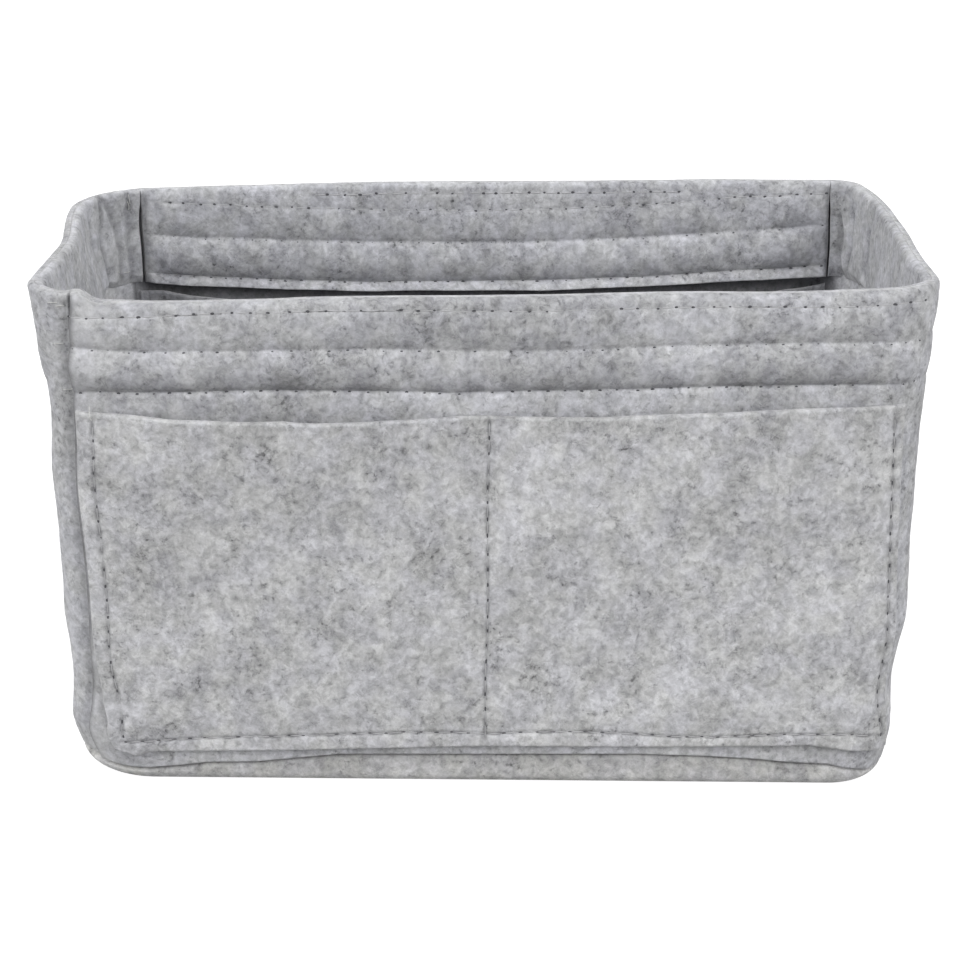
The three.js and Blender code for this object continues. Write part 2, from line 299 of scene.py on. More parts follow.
RUN_LENGTHS, RUN_STARTS = measure_runs()
LOOP = float(RUN_LENGTHS.sum())
BACK_MIDDLE = float(RUN_STARTS[4] + RUN_LENGTHS[4] / 2)


WAVES = 7
WAVE_TURNS = (0.5, 1.4)
WAVE_RISE = 1.2
WALL_WAVES = ((0.55 * MM, 11, 95 * MM), (0.2 * MM, 12, 38 * MM))
WAVES_FULL = HEIGHT / 3
SHIFT_SAMPLES = (1200, 40)


def wave(distance, z, seed, length, count=WAVES):
    """Gentle unevenness of about -1 to 1, with crests about this length apart, closed round the loop."""
    random = np.random.default_rng(seed)
    total = np.zeros(np.broadcast(distance, z).shape)
    for _ in range(count):
        turns = round(LOOP / length * random.uniform(*WAVE_TURNS))
        rise = random.uniform(-WAVE_RISE, WAVE_RISE) / length
        phase = random.uniform(0, math.tau)
        total += np.sin(math.tau * (turns * distance / LOOP + rise * z) + phase)
    return total / math.sqrt(count)


def wall_wave(distance, z):
    """Unevenness that every layer of the wall shares, less near the floor."""
    held = smooth(z, 0, WAVES_FULL)
    return held * sum(size * wave(distance, z, seed, length) for size, seed, length in WALL_WAVES)


def round_place(distance):
    """The same place within the first turn round the wall."""
    return RUN_STARTS[0] + (distance - RUN_STARTS[0]) % LOOP


def wall_point(distance, z, inset):
    """Points round the wall at heights z, set in from its outside, and their outward directions."""
    distance, z, inset = np.broadcast_arrays(distance, z, inset)
    place = round_place(distance)
    run = np.clip(np.searchsorted(RUN_STARTS, place, side="right") - 1, 0, len(RUN_STARTS) - 1)
    along = (place - RUN_STARTS[run]) / RUN_LENGTHS[run]
    reach, radius, bows, skews, turn = plan_at(z)
    depth = inset - wall_wave(distance, z)
    x, y = np.zeros(z.shape), np.zeros(z.shape)
    facing = np.zeros(z.shape)
    for side in range(SIDES):
        angle = QUARTER * (side - 1)
        out_x, out_y = math.cos(angle), math.sin(angle)
        start, end = side_ends(reach, radius, side)
        on_side, on_corner = run == 2 * side, run == 2 * side + 1
        bow = bows[side] * (1 - (2 * along - 1) ** 2) + skews[side] * np.sin(math.tau * along)
        out = reach[side] + bow - depth
        go = start + (end - start) * along
        turned = QUARTER * along
        corner_out = reach[side] - radius[side] + np.cos(turned) * (radius[side] - depth)
        corner_go = end + np.sin(turned) * (radius[side] - depth)
        out = np.where(on_corner, corner_out, out)
        go = np.where(on_corner, corner_go, go)
        here = on_side | on_corner
        x = np.where(here, out * out_x - go * out_y, x)
        y = np.where(here, out * out_y + go * out_x, y)
        facing = np.where(here, angle + np.where(on_corner, turned, 0), facing)
    cos, sin = np.cos(turn), np.sin(turn)
    points = np.stack([x * cos - y * sin, x * sin + y * cos, z], axis=-1)
    facing = facing + turn
    outward = np.stack([np.cos(facing), np.sin(facing), np.zeros(z.shape)], axis=-1)
    return points, outward


def tail_ramp(distance):
    """How far the tail of the wrap has stepped in behind its front end, from 0 to 1."""
    return smooth(distance, LAP_EDGE - LAP_MARGIN - LAP_RAMP, LAP_EDGE - LAP_MARGIN)


def near_front(distance):
    """Distance from the front's middle, counted the shorter way round."""
    return (distance + LOOP / 2) % LOOP - LOOP / 2


def lining_inset(distance):
    """Inset of a sheet that lies inside the wrap."""
    place = near_front(distance)
    tail_end = LAP_EDGE + LAP_WIDTH + LAP_MARGIN
    return LAYER * (1 + tail_ramp(place) * (1 - smooth(place, tail_end, tail_end + LAP_RAMP)))


def find_shift():
    """Move that brings the wall's own plan into the frame's place."""
    distance = np.linspace(LAP_EDGE, LAP_EDGE + LOOP, SHIFT_SAMPLES[0])[:, None]
    z = np.linspace(WRAP_HEM, HEIGHT, SHIFT_SAMPLES[1])[None, :]
    points, _ = wall_point(distance, z, wall_wave(distance, z))
    low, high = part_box("body_wrap")
    middle = (points.min(axis=(0, 1)) + points.max(axis=(0, 1))) / 2
    return np.array([(low.x + high.x) / 2 - middle[0], (low.y + high.y) / 2 - middle[1], 0])


SHIFT = find_shift()


def round_loop(knots):
    """Height as a function of distance round the wall, through knots in mm."""
    distances, heights = (np.array(column) * MM for column in zip(*knots))
    return lambda distance: np.interp(distance, distances, heights, period=LOOP)


def upright(knots):
    """Distance round the wall as a function of height, through knots in mm."""
    heights, distances = (np.array(column) * MM for column in zip(*knots))
    return lambda z: np.interp(z, heights, distances)


def fixed(value):
    """Curve that has the same value everywhere."""
    return lambda other: value + 0 * other


rim = round_loop(RIM)
rows = [round_loop(knots) for knots in (ROW_3, ROW_2, ROW_1)]
bottom_row = round_loop(BOTTOM_ROW)
hem = round_loop(HEM)
facing_low = round_loop(FACING_LOW)
lap_line = upright(LAP_LINE)
left_seam, right_seam = upright(LEFT_CORNER_SEAM), upright(RIGHT_CORNER_SEAM)


def extra_row(distance):
    """Extra row of stitches by the rim, at the back only."""
    return rim(distance) - EXTRA_ROW_DROP


def weave(value, knots, other):
    """Even coordinate turned into the measured one, piece by piece between the knots' curves."""
    curves = [curve(other) for _, curve in knots]
    total = curves[0]
    for index in range(len(knots) - 1):
        low, high = knots[index][0], knots[index + 1][0]
        total = total + (curves[index + 1] - curves[index]) * np.clip((value - low) / (high - low), 0, 1)
    return total


# Seams
DOT_LENGTH = 0.55 * MM
DOT_WIDTH = 0.42 * MM
LINE_WIDTH = 0.3 * MM
GROOVE_WIDTH = 0.8 * MM
# Painted shade above a row: how far up it reaches, and where it fades out towards the corners
SHADE_REACH = 6.5 * MM
SHADE_ENDS = (106 * MM, 121 * MM)
SEAM_GROOVE = 0.5 * MM
SEAM_DOT = 0.9
SEAM_LINE = 0.3
SEAM_SEEDS = 100
END_FADE = STITCH / 2
PUCKER = 0.25
HOLE_DEPTH = 0.12 * MM
# Painted shade in each needle hole
HOLE_DARKNESS = 0.4
HOLE_STRENGTHS = (0.12, 1)
STITCHES_KNOWN = 997

# How far a needle hole is off its even place along the seam and across it, in mm
HOLE_SHIFT = 0.6
HOLE_ASIDE = 0.18

# Seed, crest length, middle, swing, least and most of how a seam's painted line and painted shade vary in
# patches
LINE_PATCHES = (93, 9 * MM, 0.6, 0.5, 0.1, 1)
SHADE_PATCHES = (94, 15 * MM, 0.85, 0.4, 0.3, 1.3)


def patches(distance, z, seed, length, middle, swing, least, most):
    """Share that varies in patches."""
    return np.clip(middle + swing * wave(distance, z, seed, length), least, most)


def between_corners(distance):
    """Share that is 1 along the front and the back, and 0 from their corners on."""
    from_middle = np.minimum(np.abs(near_front(distance)), np.abs(near_front(distance - BACK_MIDDLE)))
    return 1 - smooth(from_middle, *SHADE_ENDS)


class Seam:
    """Line of lockstitches, along the wall or up it, with the painted shade of its needle holes and of its
    groove line.
    """

    def __init__(self, start, stop, curve, seed, upright=False, dot=SEAM_DOT, line=SEAM_LINE,
                 groove=SEAM_GROOVE, shade=0.0, drop=0.0, width=GROOVE_WIDTH, line_width=LINE_WIDTH,
                 dot_length=DOT_LENGTH, dot_width=DOT_WIDTH, share=None):
        self.start, self.stop, self.curve, self.upright = start, stop, curve, upright
        self.dot, self.line, self.groove, self.shade, self.drop = dot, line, groove, shade, drop
        self.width, self.line_width = width, line_width
        self.dot_length, self.dot_width = dot_length, dot_width
        self.share = share or fixed(1)
        random = np.random.default_rng(seed + SEAM_SEEDS)
        self.strengths = random.uniform(*HOLE_STRENGTHS, STITCHES_KNOWN)
        self.shifts = random.uniform(-HOLE_SHIFT, HOLE_SHIFT, STITCHES_KNOWN) * MM
        self.asides = random.uniform(-HOLE_ASIDE, HOLE_ASIDE, STITCHES_KNOWN) * MM

    def marks(self, distance, z):
        """How far the felt is drawn in here, and how much painted shade it has."""
        along = z if self.upright else distance
        across = distance - self.curve(z) if self.upright else z - self.curve(distance)
        beyond = np.clip(self.start - along, 0, None) + np.clip(along - self.stop, 0, None)
        fade = bell(beyond, END_FADE) * self.share(distance)
        number = np.round((along - self.start) / STITCH).astype(int)
        strength = self.strengths[number % STITCHES_KNOWN]
        from_hole = along - self.start - number * STITCH - self.shifts[number % STITCHES_KNOWN]
        aside = across - self.asides[number % STITCHES_KNOWN]
        pit = strength * bell(from_hole, self.dot_length) * bell(aside, self.dot_width) * fade
        drawn = self.groove * bell(across, self.width) * fade
        line = self.line
        if self.dot > 0:
            puckered = 1 - PUCKER + PUCKER * np.cos(math.tau * (along - self.start) / STITCH)
            drawn = drawn * puckered + HOLE_DEPTH * pit
            line = line * patches(along, 0 * along, *LINE_PATCHES)
        # Painted shade along the seam's groove
        dark = line * bell(across, self.line_width) * fade
        # Painted shade above the row, where the padding above bulges over it
        if self.shade > 0:
            shade = self.shade * fading(across, SHADE_REACH) * (across > 0) * fade
            dark = dark + shade * between_corners(distance) * patches(distance, z, *SHADE_PATCHES)
        return drawn, np.maximum(HOLE_DARKNESS * self.dot * pit, dark)

    def hole_places(self):
        """Distance, height and size of each needle hole."""
        number = np.arange(int((self.stop - self.start) / STITCH))
        along = self.start + number * STITCH + self.shifts[number % STITCHES_KNOWN]
        aside = self.asides[number % STITCHES_KNOWN]
        across = self.curve(along) + aside - self.drop
        distance, z = (across, along) if self.upright else (along, across)
        return distance, z, self.strengths[number % STITCHES_KNOWN] * self.share(distance)

    def path(self):
        """Distance and height of the thread's points, and how far along its stitch each is."""
        count = int((self.stop - self.start) / STITCH)
        along = self.start + np.arange(count * STITCH_STEPS + 1) * STEP
        share = np.arange(len(along)) % STITCH_STEPS / STITCH_STEPS
        if self.upright:
            return self.curve(along), along, share
        return along, self.curve(along), share


def sewn(distance, z, seams):
    """How far the felt is drawn in by all its seams, and how much painted shade they give it."""
    drawn, dark = np.zeros(np.broadcast(distance, z).shape), np.zeros(np.broadcast(distance, z).shape)
    for seam in seams:
        here, shade = seam.marks(distance, z)
        drawn = np.maximum(drawn, here)
        dark = np.maximum(dark, shade)
    return drawn, dark


# Padding between the rows
PUFF_HEIGHT = 1.9 * MM
PUFF_SPACING = 13 * MM
PUFF_MOST = 1.1
PUFF_FORM = 1.35
PUFF_RISE = 0.5
PUFF_FALL = 2.6
PUFF_SWING = (0.28, 34 * MM)
PUFF_LUMPS = (0.16, 13 * MM)
BELOW_ROWS = 11 * MM
BELOW_SHARE = 0.75
BAND_SHARES = (1.25, 0.75)
TOP_SHARE = 0.55


def puffed(distance, z, levels, top, height, seed):
    """Padding between the rows: it swells fast under each row and falls back above the next one down."""
    swing = PUFF_SWING[0] * wave(distance, 0 * z, seed, PUFF_SWING[1])
    lumps = PUFF_LUMPS[0] * wave(distance, z, seed + 1, PUFF_LUMPS[1])
    curves = [level(distance) for level in levels]
    total = np.zeros(np.broadcast(distance, z).shape)
    for low, high, part in zip(curves, curves[1:], BAND_SHARES):
        share = np.clip((high - z) / (high - low), 0, 1)
        kept = TOP_SHARE * (z < high) * (part < 1)
        size = part * height * np.clip((high - low) / PUFF_SPACING, 0, PUFF_MOST) * PUFF_FORM
        total = total + size * (kept + (1 - kept) * share**PUFF_RISE) * (1 - share**PUFF_FALL)
    below = np.clip((curves[0] - z) / BELOW_ROWS, 0, 1)
    above = np.clip((z - curves[-1]) / (top(distance) - curves[-1]), 0, 1)
    total = total + BELOW_SHARE * height * np.sqrt(below) * (1 - below)
    return (total + size * TOP_SHARE * (1 - above**2) * (z >= curves[-1])) * (1 + swing + lumps)


# Felt sheets
EDGE_ROUND = 0.9 * MM
TOUCHING_ROUND = 0.05 * MM
ROLL_ROUND = 1.5 * MM
EDGE_LINES = (0, 0.12 * MM, 0.35 * MM, 0.6 * MM, 0.9 * MM)
CUT_REACH = 0.7 * MM
CLOSEST_LINES = 0.05 * MM
NEAR_REACH = 2.7 * MM
NEAR_STEP = 0.42 * MM
GRAINS = ((0.05 * MM, 70, 5 * MM), (0.12 * MM, 80, 17 * MM))
GRAIN_WAVES = 9
GRAIN_EASE = 3 * MM


def edge_fall(away, size):
    """How far the face of a cut felt sheet falls back at this distance from its edge."""
    share = np.clip(1 - away / size, 0, 1)
    return size * (1 - np.sqrt(np.clip(1 - share**2, 0, 1)))


def lines(start, stop, step, wanted=()):
    """Grid lines from start to stop: even steps, a few close lines at both ends, and the wanted ones."""
    ends = [start + e for e in EDGE_LINES] + [stop - e for e in EDGE_LINES]
    inner = np.arange(start + EDGE_ROUND + step / 2, stop - EDGE_ROUND - step / 2, step)
    wanted = [w for w in wanted if start + EDGE_ROUND < w < stop - EDGE_ROUND]
    values = np.sort(np.array(ends + list(inner) + list(wanted)))
    keep = np.concatenate([[True], np.diff(values) > CLOSEST_LINES])
    return values[keep]


def near_lines(centres):
    """Close grid lines across seams at these places."""
    offsets = np.arange(-NEAR_REACH, NEAR_REACH + NEAR_STEP / 2, NEAR_STEP)
    return [c + o for c in centres for o in offsets]


def placed(name, data):
    """Object that is in the scene."""
    obj = bpy.data.objects.new(name, data)
    bpy.context.scene.collection.objects.link(obj)
    return obj


def mesh_object(name, points, quads, look, attributes=None):
    """Blender object with this look, from points in the wall's own frame and quads."""
    mesh = bpy.data.meshes.new(name)
    points = points + SHIFT
    mesh.vertices.add(len(points))
    mesh.vertices.foreach_set("co", points.astype(np.float32).ravel())
    mesh.loops.add(quads.size)
    mesh.loops.foreach_set("vertex_index", quads.astype(np.int32).ravel())
    mesh.polygons.add(len(quads))
    mesh.polygons.foreach_set("loop_start", np.arange(0, quads.size, 4, dtype=np.int32))
    mesh.update(calc_edges=True)
    mesh.polygons.foreach_set("use_smooth", np.ones(len(quads), bool))
    for key, values in (attributes or {}).items():
        layer = mesh.attributes.new(key, "FLOAT", "POINT")
        layer.data.foreach_set("value", values.astype(np.float32).ravel())
    mesh.validate()
    mesh.materials.append(looks[look])
    obj = placed(name, mesh)
    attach(obj, "root")
    return obj


def faces(*corners):
    """Quads from the point numbers at their four corners."""
    return np.stack([corner.ravel() for corner in corners], axis=1)


def grid_quads(columns, rows):
    """Quads of a closed sheet: an outside grid, an inside grid and the cut edges between them."""
    index = np.arange(columns * rows).reshape(columns, rows)
    inner = index + columns * rows
    return np.concatenate([
        faces(index[:-1, :-1], index[1:, :-1], index[1:, 1:], index[:-1, 1:]),
        faces(inner[:-1, :-1], inner[:-1, 1:], inner[1:, 1:], inner[1:, :-1]),
        faces(index[:-1, 0], inner[:-1, 0], inner[1:, 0], index[1:, 0]),
        faces(index[:-1, -1], index[1:, -1], inner[1:, -1], inner[:-1, -1]),
        faces(index[0, :-1], index[0, 1:], inner[0, 1:], inner[0, :-1]),
        faces(index[-1, :-1], inner[-1, :-1], inner[-1, 1:], index[-1, 1:]),
    ])


def unit(vectors):
    """Vectors brought to length 1."""
    return vectors / np.linalg.norm(vectors, axis=1)[:, None]


def circle(one, other, sides):
    """Points of an oval round each place, from its two half axes there."""
    angles = (np.arange(sides) * math.tau / sides)[None, :, None]
    return np.cos(angles) * one[:, None] + np.sin(angles) * other[:, None]


class Sheet:
    """Felt sheet along the wall, between curves, with its own seams and relief on each face."""

    def __init__(self, across, up, inset, outside=None, inside=None):
        self.across, self.up, self.inset = across, up, inset
        self.outside = outside or {}
        self.inside = inside or {}

    def place(self, u, v):
        """Measured distance and height of a point of the even grid."""
        z = weave(v, self.up, u)
        z = weave(v, self.up, weave(u, self.across, z))
        return weave(u, self.across, z), z

    def relief(self, distance, z, face):
        """How far a face stands out beyond the even thickness, how much painted shade it has, and how near
        its cut is.
        """
        drawn, dark = sewn(distance, z, face.get("seams", ()))
        proud = face["puff"](distance, z) if "puff" in face else 0 * drawn
        seed = face.get("seed", 1)
        grain = sum(
            size * wave(distance, z, seed + extra, length, GRAIN_WAVES) for size, extra, length in GRAINS)
        away = np.minimum.reduce(np.broadcast_arrays(
            distance - self.across[0][1](z), self.across[-1][1](z) - distance, z - self.up[0][1](distance)))
        away = np.clip(away, 0, None)
        below_top = np.clip(self.up[-1][1](distance) - z, 0, None)
        size = face.get("round", EDGE_ROUND)
        fall = np.maximum(edge_fall(away, size), edge_fall(below_top, face.get("top_round", size)))
        pale = 1 - smooth(away if "top_round" in face else np.minimum(away, below_top), 0, CUT_REACH)
        away = np.minimum(away, below_top)
        # Painted shade of this face, kept off its pale cut edge
        if "shade" in face:
            dark = np.maximum(dark, face["shade"](distance, z) * (1 - pale))
        if "pale" in face:
            pale = np.maximum(pale, face["pale"](distance, z))
        return proud + grain * smooth(away, 0, GRAIN_EASE) - drawn - fall, dark, pale

    def surface(self, distance, z, inside=False):
        """Points on one face and its outward directions away from the felt."""
        proud = self.relief(distance, z, self.inside if inside else self.outside)[0]
        if inside:
            points, outward = wall_point(distance, z, self.inset(distance, z) + FELT + proud)
            return points, -outward
        return wall_point(distance, z, self.inset(distance, z) - proud)

    def build(self, name, slot, levels, step=STEP, columns=()):
        """Blender object of the sheet, which stands for the node of the same name."""
        u = lines(self.across[0][0], self.across[-1][0], step, columns)[:, None]
        distance, z = self.place(u, levels[None, :])
        out, _ = self.surface(distance, z)
        back, _ = self.surface(distance, z, inside=True)
        reliefs = [self.relief(distance, z, face) for face in (self.outside, self.inside)]
        points = np.concatenate([out.reshape(-1, 3), back.reshape(-1, 3)])
        attributes = {
            "sewn": np.concatenate([dark.ravel() for _, dark, _ in reliefs]),
            "cut": np.concatenate([pale.ravel() for _, _, pale in reliefs]),
        }
        obj = mesh_object(name, points, grid_quads(*distance.shape), slot, attributes)
        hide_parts(name)
        return obj


# Threads and needle holes
THREAD_SIDES = 6
THREAD_ARCH = 0.3 * MM
THREAD_SUNK = 0.33 * MM
FAINT_SUNK = 0.35 * MM
HOLE_LEAST = 0.22
HOLE_SIDES = 8
HOLE_LIFT = 0.1 * MM
HOLE_RINGS = ((1, 0), (0.8, HOLE_LIFT), (0.04, HOLE_LIFT))


def tube(name, points, outward, radius, look):
    """Round strand along points."""
    along = unit(np.gradient(points, axis=0))
    across = unit(np.cross(along, outward))
    rings = points[:, None] + radius * circle(across, np.cross(across, along), THREAD_SIDES)
    index = np.arange(len(points) * THREAD_SIDES).reshape(len(points), THREAD_SIDES)
    after = np.roll(index, -1, axis=1)
    quads = faces(index[:-1], index[1:], after[1:], after[:-1])
    return mesh_object(name, rings.reshape(-1, 3), quads, look)


def sew(name, sheet, seam, inside=False):
    """Thread along a seam: sunk in the felt, it arches a little from hole to hole and dives into each."""
    prick(f"{name}_holes", sheet, seam, inside)
    distance, z, share = seam.path()
    arch = np.sqrt(np.sin(math.pi * share))
    lift = THREAD_ARCH * arch - THREAD_SUNK - FAINT_SUNK * (1 - seam.share(distance))
    points, outward = sheet.surface(distance, z, inside)
    return tube(name, points + outward * lift[:, None], outward, THREAD_RADIUS, "thread")


def prick(name, sheet, seam, inside=False):
    """Needle holes of a seam, as small dark ovals of painted shade on the felt."""
    distance, z, size = seam.hole_places()
    kept = size > HOLE_LEAST
    distance, z, size = distance[kept], z[kept], size[kept]
    if not len(size):
        return
    centre, outward = sheet.surface(distance, z, inside)
    ahead = (0, STEP) if seam.upright else (STEP, 0)
    along = sheet.surface(distance + ahead[0], z + ahead[1], inside)[0] - centre
    along = unit(along - outward * (along * outward).sum(axis=1, keepdims=True))
    across = np.cross(outward, along)
    oval = circle(along * seam.dot_length, across * seam.dot_width, HOLE_SIDES) * np.sqrt(size)[:, None, None]
    rings = [centre[:, None] + outward[:, None] * lift + oval * reach for reach, lift in HOLE_RINGS]
    points = np.stack(rings, axis=1)
    index = np.arange(points.size // 3).reshape(points.shape[:3])
    after = np.roll(index, -1, axis=-1)
    quads = faces(index[:, :-1], after[:, :-1], after[:, 1:], index[:, 1:])
    mesh_object(name, points.reshape(-1, 3), quads, "hole_shade")


# Materials
class Nodes:
    """Short ways to add shader nodes to one material."""

    def __init__(self, name, finish):
        self.material = bpy.data.materials.new(name)
        self.material.use_nodes = True
        self.nodes = self.material.node_tree.nodes
        self.links = self.material.node_tree.links
        self.shader = self.nodes["Principled BSDF"]
        for key, value in finish.items():
            self.shader.inputs[key].default_value = value

    def add(self, kind, **inputs):
        """New node with these inputs, set or linked."""
        node = self.nodes.new(kind)
        for key, value in inputs.items():
            self.link_or_set(value, node.inputs[key.replace("_", " ")])
        return node

    def link_or_set(self, value, socket):
        if isinstance(value, bpy.types.NodeSocket):
            self.links.new(value, socket)
        else:
            socket.default_value = value

    def place(self, offset=(0, 0, 0), turn=(0, 0, 0)):
        here = self.nodes.new("ShaderNodeTexCoord").outputs["Object"]
        return self.add("ShaderNodeMapping", Vector=here, Location=offset, Rotation=turn).outputs["Vector"]

    def noise(self, vector, size, detail=2.0, roughness=0.5, distortion=0.0):
        node = self.add("ShaderNodeTexNoise", Vector=vector, Scale=1 / size, Detail=detail,
                        Roughness=roughness, Distortion=distortion)
        return node.outputs["Fac"]

    def ramp(self, value, low, high, out_low=0.0, out_high=1.0, smooth_step=True):
        node = self.add("ShaderNodeMapRange", Value=value, From_Min=low, From_Max=high, To_Min=out_low,
                        To_Max=out_high)
        node.interpolation_type = "SMOOTHSTEP" if smooth_step else "LINEAR"
        return node.outputs["Result"]

    def spots(self, vector, noise, span, smooth_step=True):
        """Noise of this size, detail, roughness and distortion, its span drawn out."""
        return self.ramp(self.noise(vector, *noise), *span, smooth_step=smooth_step)

    def maths(self, operation, *values):
        node = self.nodes.new("ShaderNodeMath")
        node.operation = operation
        for socket, value in zip(node.inputs, values):
            self.link_or_set(value, socket)
        return node.outputs[0]

    def total(self, parts, level=0.0):
        """Sum of parts times their weights, on top of a level."""
        result = level
        for part, weight in parts:
            result = self.maths("ADD", self.maths("MULTIPLY", part, weight), result)
        return result

    def colours(self, factor, one, other):
        node = self.nodes.new("ShaderNodeMix")
        node.data_type = "RGBA"
        for key, value in (("Factor", factor), ("A", one), ("B", other)):
            self.link_or_set((*value, 1) if isinstance(value, tuple) else value, node.inputs[key])
        return node.outputs["Result"]

    def attribute(self, name):
        node = self.nodes.new("ShaderNodeAttribute")
        node.attribute_name = name
        return node.outputs["Fac"]

    def wisps(self, vector, size, width, distortion, low, high, spread):
        """Thin winding marks where a noise passes its middle, in patches."""
        value = self.noise(vector, size, *WISP_NOISE, distortion)
        off = self.maths("ABSOLUTE", self.maths("SUBTRACT", value, WISP_MIDDLE))
        line = self.ramp(off, 0.0, width, 1.0, 0.0)
        return self.maths("MULTIPLY", line, self.spots(vector, (spread,), (low, high)))


FELT_FINISH = {"Roughness": 0.95, "Specular IOR Level": 0.1, "Sheen Weight": 0.18, "Sheen Roughness": 0.6}
THREAD_FINISH = {"Roughness": 0.7, "Specular IOR Level": 0.25}
TWIST_SIZE = 0.4 * MM
TILT = (0.6, 0.4, 0.9)
TILT_OFFSET = 3.1

# Size, detail, roughness and distortion of each noise, and the span of it that is drawn out
CLOUD = ((30 * MM,), (0.3, 0.7, -0.5, 0.5))
MOTTLE = ((9 * MM, 5.0, 0.84, 0.3), (0.2, 0.8, -0.5, 0.5), False)
BLOTS = ((2.6 * MM, 2.5, 0.62, 0.5), (0.25, 0.75, -0.5, 0.5))
GROUPS = ((12 * MM, 2.0, 0.6, 0.4), (0.38, 0.68))
GROUP_SPAN = (0.0, 1.0, 0.25, 1.0, False)
FLECKS = ((1.7 * MM, 2.5, 0.62, 0.45), (0.5, 0.78))
HUE = ((9 * MM,), (0.35, 0.65))
FUZZ = (0.45 * MM, 3.0, 0.7)

# Size, width, distortion, patches and their spread of the thin marks
WISP_NOISE = (2.5, 0.55)
WISP_MIDDLE = 0.5
DARK_WISPS = (3.1 * MM, 0.05, 1.6, 0.46, 0.64, 6 * MM)
PALE_WISPS = (2.6 * MM, 0.04, 1.8, 0.45, 0.62, 4.4 * MM)

# How much the cloud, mottle, blots, flecks and marks change the tone, and the level between them
WEIGHTS = (0.24, 1.0, 0.5, -0.62, -0.16, 0.2)
TONE_LEVEL = 1.1
COOL = ((0.992, -0.008), (0.99, 0), (1.02, 0.03))
WARM = ((1.002, -0.008), (1.0, 0), (0.99, 0.03))
CUT_SPAN = (0.2, 1.0, 0.0, 0.22)
CUT_TONE = 1.35
SEWN_AND_PAINTED_SHADE_SPAN = (0.0, 1.0, 0.0, 0.88, False)
SEWN_AND_PAINTED_SHADE_COLOUR = (0.045, 0.045, 0.05)
BUMP_STRENGTH = 0.5
BUMP_DISTANCE = 0.35 * MM
BUMP_SHARE = 0.5


def felt_material(name, tone, offset, blue):
    """Pressed heather felt: clouded greys with short dark and pale fibres, and a fuzzy broken surface."""
    kit = Nodes(name, FELT_FINISH)
    here = kit.place(offset)
    tilted = kit.place(tuple(o + TILT_OFFSET for o in offset), TILT)
    flecks = kit.spots(here, *FLECKS)
    parts = (
        kit.spots(here, *CLOUD),
        kit.spots(here, *MOTTLE),
        kit.spots(tilted, *BLOTS),
        kit.maths("MULTIPLY", flecks, kit.ramp(kit.spots(tilted, *GROUPS), *GROUP_SPAN)),
        kit.wisps(tilted, *DARK_WISPS),
        kit.wisps(here, *PALE_WISPS),
    )
    cool, warm = (
        tuple((level + change * blue) * tone for level, change in colour) for colour in (COOL, WARM))
    felt = kit.nodes.new("ShaderNodeVectorMath")
    felt.operation = "SCALE"
    kit.link_or_set(kit.colours(kit.spots(tilted, *HUE), cool, warm), felt.inputs[0])
    kit.link_or_set(kit.total(zip(parts, WEIGHTS), TONE_LEVEL), felt.inputs["Scale"])
    cut = kit.ramp(kit.attribute("cut"), *CUT_SPAN)
    edged = kit.colours(cut, felt.outputs["Vector"], (CUT_TONE * tone,) * 3)
    # Painted shade from seams, gaps, creases, rims, facings and the hem darkens the felt's colour
    dark = kit.ramp(kit.attribute("sewn"), *SEWN_AND_PAINTED_SHADE_SPAN)
    kit.link_or_set(kit.colours(dark, edged, SEWN_AND_PAINTED_SHADE_COLOUR), kit.shader.inputs["Base Color"])
    relief = kit.total(((flecks, BUMP_SHARE), (kit.noise(here, *FUZZ), BUMP_SHARE)))
    bump = kit.add("ShaderNodeBump", Strength=BUMP_STRENGTH, Distance=BUMP_DISTANCE, Height=relief)
    kit.link_or_set(bump.outputs["Normal"], kit.shader.inputs["Normal"])
    return kit.material


def thread_material(name, dark, light):
    """Spun polyester thread with a fine twist."""
    kit = Nodes(name, THREAD_FINISH)
    twist = kit.noise(kit.place(), TWIST_SIZE)
    kit.link_or_set(kit.colours(twist, dark, light), kit.shader.inputs["Base Color"])
    return kit.material


# Tone, offset of the pattern and blueness of each felt, and dark and light colour of each thread and of the
# painted shade in the needle holes
FELTS = {
    "felt_wall": (0.42, (0, 0, 0), 1.0),
    "felt_pocket": (0.45, (0.5, 0.2, 0.1), 0.5),
    "felt_lining": (0.4, (1.1, 0.7, 0.3), 1.3),
    "felt_base": (0.42, (1.7, 1.3, 0.9), -0.4),
}
THREADS = {
    "thread": ((0.33, 0.33, 0.34), (0.5, 0.5, 0.51)),
    "hole_shade": ((0.06, 0.06, 0.065), (0.1, 0.1, 0.11)),
    "pale_thread": ((0.5, 0.5, 0.49), (0.66, 0.66, 0.64)),
}
looks = {name: felt_material(name, *numbers) for name, numbers in FELTS.items()}
looks |= {name: thread_material(name, *colours) for name, colours in THREADS.items()}


# Wrap and its seams
RIM_MARGIN = 3 * MM
PUFF_EASE = 9 * MM
# Rows lowest first; the dark line and the needle holes of each are painted shade
ROW_STYLES = (
    {"line": 0.12, "groove": 0.4 * MM, "drop": 0.3 * MM, "dot_length": 0.68 * MM, "dot_width": 0.5 * MM},
    {"line": 0.08, "groove": 0.25 * MM, "drop": 0.2 * MM, "dot_length": 0.54 * MM, "dot_width": 0.4 * MM},
    {"line": 0.0, "groove": 0.12 * MM, "dot_length": 0.8 * MM, "dot_width": 0.54 * MM},
)
EXTRA_ROW_SEED = 9
BOTTOM_ROW_STYLE = {"dot": 0.8, "line": 0.4}
BOTTOM_ROW_SHARE = 0.25
SEAM_EASE = 0.5 * MM
FACING_WALL_SHARE = 0.04
WRAP_WALL_SHARE = 0.2
